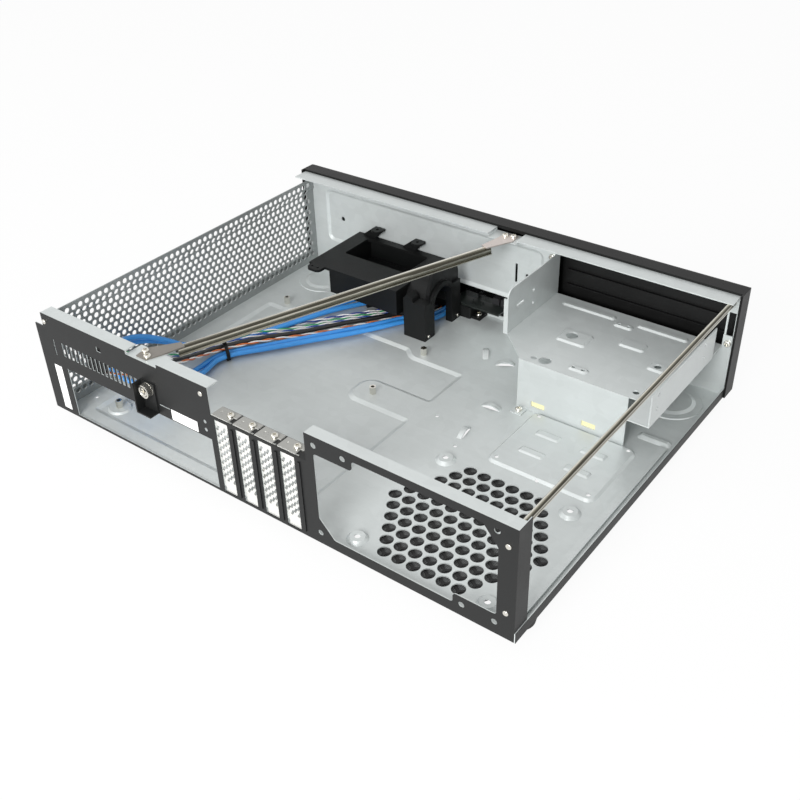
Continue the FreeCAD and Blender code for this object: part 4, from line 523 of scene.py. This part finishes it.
lightLook = {
    "bend": 1.49,
    "clear": 0.8,
    "grain": 700.0,
    "dark": (0.7, 0.78, 0.82),
    "light": (0.86, 0.9, 0.92),
    "smooth": 0.15,
    "rough": 0.3,
}


def makeLightPlastic():
    material, tree, shader = startMaterial("lightPlastic", IOR=lightLook["bend"],
                                           Transmission_Weight=lightLook["clear"])
    tone = useGroup(tree, grainGroup, Scale=lightLook["grain"])["Tone"]
    connect(tree, shader, Base_Color=blendColour(tree, tone, lightLook["dark"], lightLook["light"]),
            Roughness=remap(tree, tone, *toneSpan, lightLook["smooth"], lightLook["rough"]))
    return material


finishOf = {
    galvanised: ("cover_rail", "front_wall", "drive_tray"),
    panFinish: ("base_pan",),
    rearFinish: ("rear_panel", "supply_panel", "supply_folds"),
    slotPaintAndShelfShade: ("slot_panel",),
    ventedWallFinishAndPaintedShade: ("vented_side_wall",),
    lockPaint: ("lock_bracket",),
    bracePlate: ("diagonal_brace",),
    sideBracePlate: ("side_brace",),
    plated["brightSlotPlate"]: ("slot_cover_1", "slot_cover_2", "slot_cover_3", "slot_cover_4"),
    plated["taupeEndPlate"]: ("rear_end_plate",),
    plated["nickelEndPlate"]: ("front_end_plate",),
    plated["screwNickel"]: ("standoffs", "panel_rivets", "slot_screws", "tray_screws", "brace_screws",
                            "bracket_screws", "front_io_screw"),
    plated["socketShell"]: ("usb_socket_1", "usb_socket_2"),
    moulded["bracketMoulding"]: ("moulded_bracket", "front_io_housing", "lead_plugs", "sound_plug",
                                 "usb_plug_1", "usb_plug_2", "cable_tie", "switches"),
    moulded["bezelMoulding"]: ("front_bezel", "bay_cover", "power_button", "reset_button"),
    moulded["footRubber"]: ("rubber_feet",),
    moulded["boardMask"]: ("front_io_board", "switch_board"),
    moulded["socketMoulding"]: ("sound_socket_1", "sound_socket_2"),
    moulded["yellowFoam"]: ("tray_pads",),
    moulded["stickerPaper"]: ("side_sticker", "rear_sticker"),
    makeFilterMesh(): ("vent_filter",),
    makeLightPlastic(): ("light_pipe_1", "light_pipe_2"),
}


def paintNodes():
    for finish, names in finishOf.items():
        for name in names:
            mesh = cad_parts[name].data
            mesh.materials.clear()
            mesh.materials.append(finish)


# Cords

cordRoutes = {
    "usb_cable_1": [
        (41.8, -138, 14.5), (41.8, -117.5, 14.5), (62.4, -104.7, 14), (75.7, -81.2, 14.2),
        (90.5, -58.6, 14.4), (112.9, -28.8, 13.6), (135.8, 3, 13.4), (160.3, 36.2, 13.9),
        (155.8, 63, 15), (149.4, 90, 22), (159.4, 114, 35), (181.4, 124, 45.5), (199.9, 112, 49),
        (200.4, 88, 45), (187.9, 67, 34), (174.4, 51.5, 21.5), (164.5, 33.8, 13.9),
        (150.4, -4.2, 16.3), (135.8, -42, 16.3), (123.7, -76.6, 15.6), (108.4, -103, 14.6)],
    "usb_cable_2": [
        (36.4, -138, 14.5), (36.4, -115.5, 14.5), (57.9, -100.8, 14), (70.6, -77.6, 14.1),
        (84.8, -55.3, 14.2), (107.9, -25.9, 13.6), (131.2, 5.7, 13.4), (156.2, 38.6, 13.9),
        (149.1, 64, 14.4), (143.4, 92, 18), (153.4, 119, 27), (180.4, 131, 36), (204.2, 118, 41),
        (204.8, 88, 38), (194.4, 64.5, 29), (179.9, 48, 20), (168.6, 31.4, 13.9), (155, -6.9, 16.3),
        (140.8, -44.9, 16.3), (129.1, -79.7, 15.6), (118.9, -107.5, 14.6)],
    "sound_cable": [
        (50.8, -138, 14.2), (50.8, -120.5, 14.2), (70.2, -110, 13.8), (86.7, -85.5, 13.8),
        (104.6, -62.1, 13.8), (123.3, -30.2, 14.6), (142.9, 2.4, 18.4), (162.1, 35.2, 18.6),
        (157.4, 62.9, 27.5), (149.9, 86.9, 38.9), (144.9, 110.9, 49.8), (149, 132.3, 56),
        (165.8, 144.9, 58.4)],
    "power_switch_lead": [
        (46.3, -138, 14), (46.3, -119, 14), (66.4, -107.6, 13.2), (81.8, -82.7, 13.1),
        (98.8, -58.8, 13), (119.6, -28.1, 13.6), (139.4, 4.4, 18), (158.8, 37.1, 18.4),
        (152.8, 62, 27.5), (144.8, 85.5, 38.4), (139.7, 110.4, 47.5), (145.4, 134.7, 51.5),
        (165.2, 146.8, 52.2)],
    "reset_switch_lead": [
        (55.2, -138, 14), (55.2, -122, 14), (73.8, -112.8, 13.2), (91, -88.4, 13.1),
        (109.7, -65.1, 13), (127.2, -32.4, 14.4), (146.5, 0.3, 19.6), (165.3, 33.3, 18.4),
        (161.9, 63.8, 27.5), (154.8, 88.2, 39.5), (149.9, 111.5, 52), (152.6, 129.9, 60.5),
        (166.5, 143, 64.3)],
    "drive_light_lead": [
        (59, -138, 14), (59, -123.5, 14), (76.6, -115.4, 13.2), (94.4, -90.8, 13.1),
        (113.7, -67.4, 13), (130.8, -34.5, 13.6), (150, -1.7, 21), (168.1, 31.7, 18.5),
        (166, 64.6, 27.5), (159.3, 89.3, 39.9), (154.3, 112, 54), (155.7, 127.8, 64.4),
        (167, 141.3, 69.7)],
    "power_light_lead": [
        (62.6, -138, 14), (62.6, -125, 14), (79.2, -118, 13.2), (97.2, -94.1, 13.1),
        (116.7, -71.4, 13), (142.5, -36.7, 11.5), (162.2, -1.8, 11.6), (173.1, 28.8, 13.2),
        (183.7, 53.9, 11.5), (183.5, 80.6, 11.5)],
}  # millimetres
cables = {
    "usb_cable_1": {"diameter": 0.0045, "length": 0.5853, "finish": "blueJacket", "slot": "blue_jacket",
                    "on": ["usb_plug_1", "cable_tie"]},
    "usb_cable_2": {"diameter": 0.0045, "length": 0.602, "finish": "blueJacket", "slot": "blue_jacket",
                    "on": ["usb_plug_2"]},
    "sound_cable": {"diameter": 0.004, "length": 0.335, "finish": "blackJacket", "slot": "black_jacket",
                    "on": ["sound_plug"]},
}
twistedLeads = {
    "power_switch_lead": {"length": 0.3388, "colour": (0.78, 0.19, 0.04)},
    "reset_switch_lead": {"length": 0.3326, "colour": (0.03, 0.09, 0.42)},
    "drive_light_lead": {"length": 0.3315, "colour": (0.05, 0.42, 0.16)},
    "power_light_lead": {"length": 0.2585, "colour": (0.025, 0.05, 0.3)},
}
twist = {"diameter": 0.0026, "strand": 0.00126, "pitch": 0.024, "steps": 24, "rings": 2, "darkShare": 0.7}
jacket = {"steps": 12, "rings": 6, "order": 3}


def pieceName(name):
    return name.title().replace("_", "")


def roundCurve(name, kind, points, thickness, rings):
    # a closed round rod along the points
    curve = bpy.data.curves.new(name, "CURVE")
    curve.dimensions = "3D"
    spline = curve.splines.new(kind)
    spline.points.add(len(points) - 1)
    for point, place in zip(spline.points, points):
        point.co = (*place, 1.0)
    curve.bevel_depth = thickness / 2
    curve.bevel_resolution = rings
    curve.use_fill_caps = True
    rod = bpy.data.objects.new(name, curve)
    scene.collection.objects.link(rod)
    return rod


def cordSpline(name, thickness, steps):
    points = [[part / 1000 for part in point] for point in cordRoutes[name]]
    cord = roundCurve(name, "NURBS", points, thickness, jacket["rings"])
    cord.name = pieceName(name)
    spline = cord.data.splines[0]
    spline.order_u = jacket["order"]
    spline.use_endpoint_u = True
    spline.resolution_u = steps
    return cord


def splinePoints(cord):
    line = bpy.data.meshes.new_from_object(cord)
    points = [vertex.co.copy() for vertex in line.vertices]
    bpy.data.meshes.remove(line)
    return points


def strandCurve(name, points, phase):
    # one insulated wire wound round the line of the pair
    around = (twist["diameter"] - twist["strand"]) / 2
    wound = []
    side = None
    travelled = 0.0
    for i, point in enumerate(points):
        ahead = points[min(i + 1, len(points) - 1)] - points[max(i - 1, 0)]
        ahead.normalize()
        side = ahead.orthogonal() if side is None else side - ahead * side.dot(ahead)
        side.normalize()
        travelled += (point - points[i - 1]).length if i else 0.0
        angle = phase + 2 * math.pi * travelled / twist["pitch"]
        offset = side * math.cos(angle) + ahead.cross(side) * math.sin(angle)
        wound.append(point + offset * around)
    return roundCurve(name, "POLY", wound, twist["strand"], twist["rings"])


def deselectAll():
    bpy.ops.object.select_all(action="DESELECT")


def makeTwistedPair(name, colour):
    line = cordSpline(name, 0.0, twist["steps"])
    points = splinePoints(line)
    bpy.data.objects.remove(line)
    dark = [part * twist["darkShare"] for part in colour]
    coloured = makeMoulded(name + "Colour", dark, colour, **insulation)
    white = moulded["whiteInsulation"]
    deselectAll()
    strands = []
    for label, phase, finish in (("a", 0.0, coloured), ("b", math.pi, white)):
        strand = strandCurve(name + label, points, phase)
        strand.data.materials.append(finish)
        strand.select_set(True)
        strands.append(strand)
    bpy.context.view_layer.objects.active = strands[0]
    bpy.ops.object.convert(target="MESH")
    bpy.ops.object.join()
    pair = bpy.context.object
    pair.name = pieceName(name)
    bpy.ops.object.shade_smooth()
    return pair, points


def layCords():
    for name, look in cables.items():
        cord = cordSpline(name, look["diameter"], jacket["steps"])
        cord.data.materials.append(moulded[look["finish"]])
        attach(cord, "chassis")
        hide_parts(name)
    for name, look in twistedLeads.items():
        pair, points = makeTwistedPair(name, look["colour"])
        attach(pair, "chassis")
        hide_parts(name)
    print("cords laid:", len(cables), "cables and", len(twistedLeads), "twisted pairs")


# Thumb screw of the lock

thumb = {
    "sides": 44,
    "shankDepth": 0.0022,
    "shankRadius": 0.0013,
    "knurl": 0.00028,
    "knurlEdge": 0.00008,
    "rim": 0.0013,
    "dish": 0.0005,
    "slotHalf": 0.0026,
    "slotWidth": 0.001,
    "slotDepth": 0.0013,
    "edge": 0.00012,
}
softEdge = {"segments": 2, "smoothAngle": 35.0}
squareOn = 0.9


def pickFaces(piece, wanted):
    # leaves edit mode open with only the wanted faces selected
    bpy.ops.object.mode_set(mode="EDIT")
    bpy.ops.mesh.select_mode(type="FACE")
    bpy.ops.mesh.select_all(action="DESELECT")
    bpy.ops.object.mode_set(mode="OBJECT")
    for face in piece.data.polygons:
        face.select = wanted(face)
    bpy.ops.object.mode_set(mode="EDIT")


def applyPlace():
    bpy.ops.object.transform_apply(location=True, rotation=True, scale=True)


def softenEdges(piece, width):
    bevel = piece.modifiers.new("softEdge", "BEVEL")
    bevel.width = width
    bevel.segments = softEdge["segments"]
    bevel.limit_method = "ANGLE"
    bpy.ops.object.modifier_apply(modifier=bevel.name)
    bpy.ops.object.shade_smooth_by_angle(angle=math.radians(softEdge["smoothAngle"]))


def cutCross(piece, place):
    # two crossed bars cut the driver recess
    length = thumb["slotHalf"] * 2
    for wide, high in ((length, thumb["slotWidth"]), (thumb["slotWidth"], length)):
        deselectAll()
        bpy.ops.mesh.primitive_cube_add(size=1.0, location=place, scale=(wide, thumb["slotDepth"] * 2, high))
        applyPlace()
        bar = bpy.context.object
        cut = piece.modifiers.new("recess", "BOOLEAN")
        cut.operation = "DIFFERENCE"
        cut.object = bar
        bpy.context.view_layer.objects.active = piece
        bpy.ops.object.modifier_apply(modifier=cut.name)
        bpy.data.objects.remove(bar)


def makeThumbScrew():
    low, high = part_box("lock_screw")
    middle = (low + high) / 2
    radius = (high.x - low.x) / 2
    seat = low.y + thumb["shankDepth"]
    quarter = (math.radians(-90), 0.0, 0.0)
    deselectAll()
    bpy.ops.mesh.primitive_cylinder_add(vertices=thumb["sides"], radius=radius, depth=high.y - seat,
                                        location=(middle.x, (seat + high.y) / 2, middle.z), rotation=quarter)
    applyPlace()
    screw = bpy.context.object
    # every other side is pressed in for the knurl, then the rim, the dish and the shank follow
    pickFaces(screw, lambda face: abs(face.normal.y) < facingLimit and face.index % 2 == 0)
    bpy.ops.mesh.inset(thickness=thumb["knurlEdge"], depth=-thumb["knurl"], use_individual=True)
    pickFaces(screw, lambda face: face.normal.y > squareOn and face.center.y > high.y - planeSlack)
    bpy.ops.mesh.inset(thickness=thumb["rim"], depth=0.0)
    bpy.ops.mesh.inset(thickness=thumb["dish"], depth=-thumb["dish"])
    pickFaces(screw, lambda face: face.normal.y < -squareOn and face.center.y < seat + planeSlack)
    bpy.ops.mesh.inset(thickness=radius - thumb["shankRadius"], depth=0.0)
    bpy.ops.mesh.extrude_region_move(TRANSFORM_OT_translate={"value": (0.0, -thumb["shankDepth"], 0.0)})
    bpy.ops.object.mode_set(mode="OBJECT")
    cutCross(screw, (middle.x, high.y - thumb["dish"], middle.z))
    screw.select_set(True)
    softenEdges(screw, thumb["edge"])
    screw.name = "LockThumbScrew"
    screw.data.materials.clear()
    screw.data.materials.append(plated["screwNickel"])
    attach(screw, "chassis")
    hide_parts("lock_screw")
    print("thumb screw made")


# Contacts in the front sockets

contact = {
    "length": 0.009,
    "width": 0.001,
    "thickness": 0.00025,
    "tip": 0.0002,
    "edge": 0.0000625,
    "inset": 0.0014,
    "drop": 0.0024,
    "places": (-0.0035, -0.001, 0.001, 0.0035),
}


def makeContacts():
    deselectAll()
    sockets = [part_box(name) for name in ("usb_socket_1", "usb_socket_2")]
    low, high = sockets[0]
    start = Vector(((low.x + high.x) / 2, low.y + contact["inset"], high.z - contact["drop"]))
    bpy.ops.mesh.primitive_cube_add(size=1.0, location=start + Vector((0.0, contact["length"] / 2, 0.0)),
                                    scale=(contact["width"], contact["length"], contact["thickness"]))
    applyPlace()
    first = bpy.context.object
    pickFaces(first, lambda face: face.normal.y < -squareOn)
    bpy.ops.transform.translate(value=(0.0, 0.0, contact["tip"]))
    bpy.ops.object.mode_set(mode="OBJECT")
    softenEdges(first, contact["edge"])
    first.data.materials.append(plated["goldContact"])
    count = 0
    for box in sockets:
        away = (box[0].x + box[1].x) / 2 - start.x
        for place in contact["places"]:
            strip = first.copy()
            strip.data = first.data.copy()
            scene.collection.objects.link(strip)
            deselectAll()
            strip.select_set(True)
            bpy.context.view_layer.objects.active = strip
            strip.location = (away + place, 0.0, 0.0)
            applyPlace()
            count += 1
            strip.name = "SocketContact" + str(count)
            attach(strip, "chassis")
    bpy.data.objects.remove(first)
    print("socket contacts made:", count)


# Floor and light

stageLook = {"floor": 40.0, "floorColour": 0.9, "seenWhite": 0.93, "dim": 0.56, "seenSky": 0.97}
lamps = {
    "keyLamp": {"place": (-0.32, 1.6, 0.8), "size": 0.8, "power": 34.0},
    "fillLamp": {"place": (1.1, 0.4, 1.2), "size": 1.2, "power": 4.0},
}


def seenDirectly(tree):
    path = addNode(tree, "LightPath").outputs
    seen = maths(tree, "MAXIMUM", path["Is Camera Ray"], path["Is Glossy Ray"])
    return maths(tree, "MAXIMUM", seen, path["Is Transmission Ray"])


def setStage():
    bpy.ops.mesh.primitive_plane_add(size=stageLook["floor"], location=(0, 0, 0))
    floor = bpy.context.object
    floor.name = "floor"
    material = bpy.data.materials.new("paleFloor")
    material.use_nodes = True
    tree = material.node_tree
    tree.nodes.clear()
    grey = stageLook["floorColour"]
    plain = addNode(tree, "BsdfDiffuse", {"Color": (grey, grey, grey, 1.0)})
    white = addNode(tree, "Emission", {"Color": (1.0, 1.0, 1.0, 1.0), "Strength": 1.0})
    share = maths(tree, "MULTIPLY", seenDirectly(tree), stageLook["seenWhite"])
    mix = addNode(tree, "MixShader", {0: share, 1: plain.outputs[0], 2: white.outputs[0]})
    out = tree.nodes.new("ShaderNodeOutputMaterial")
    tree.links.new(mix.outputs[0], out.inputs["Surface"])
    floor.data.materials.append(material)
    world = bpy.data.worlds.new("studio")
    world.use_nodes = True
    sky = world.node_tree
    back = sky.nodes["Background"]
    back.inputs["Color"].default_value = (1.0, 1.0, 1.0, 1.0)
    strength = remap(sky, seenDirectly(sky), 0.0, 1.0, stageLook["dim"], stageLook["seenSky"])
    sky.links.new(strength, back.inputs["Strength"])
    scene.world = world


def setLamps():
    middle = (cadBox[0] + cadBox[1]) / 2
    for name, lamp in lamps.items():
        bpy.ops.object.light_add(type="AREA", location=lamp["place"])
        light = bpy.context.object
        light.name = name
        light.data.size = lamp["size"]
        light.data.energy = lamp["power"]
        light.rotation_euler = (middle - Vector(lamp["place"])).to_track_quat("-Z", "Y").to_euler()


scene.view_settings.view_transform = "Standard"
setCamera()
layCords()
makeThumbScrew()
makeContacts()
paintNodes()
print("finishes on", sum(len(names) for names in finishOf.values()), "nodes")
setStage()
setLamps()
print("stage set")
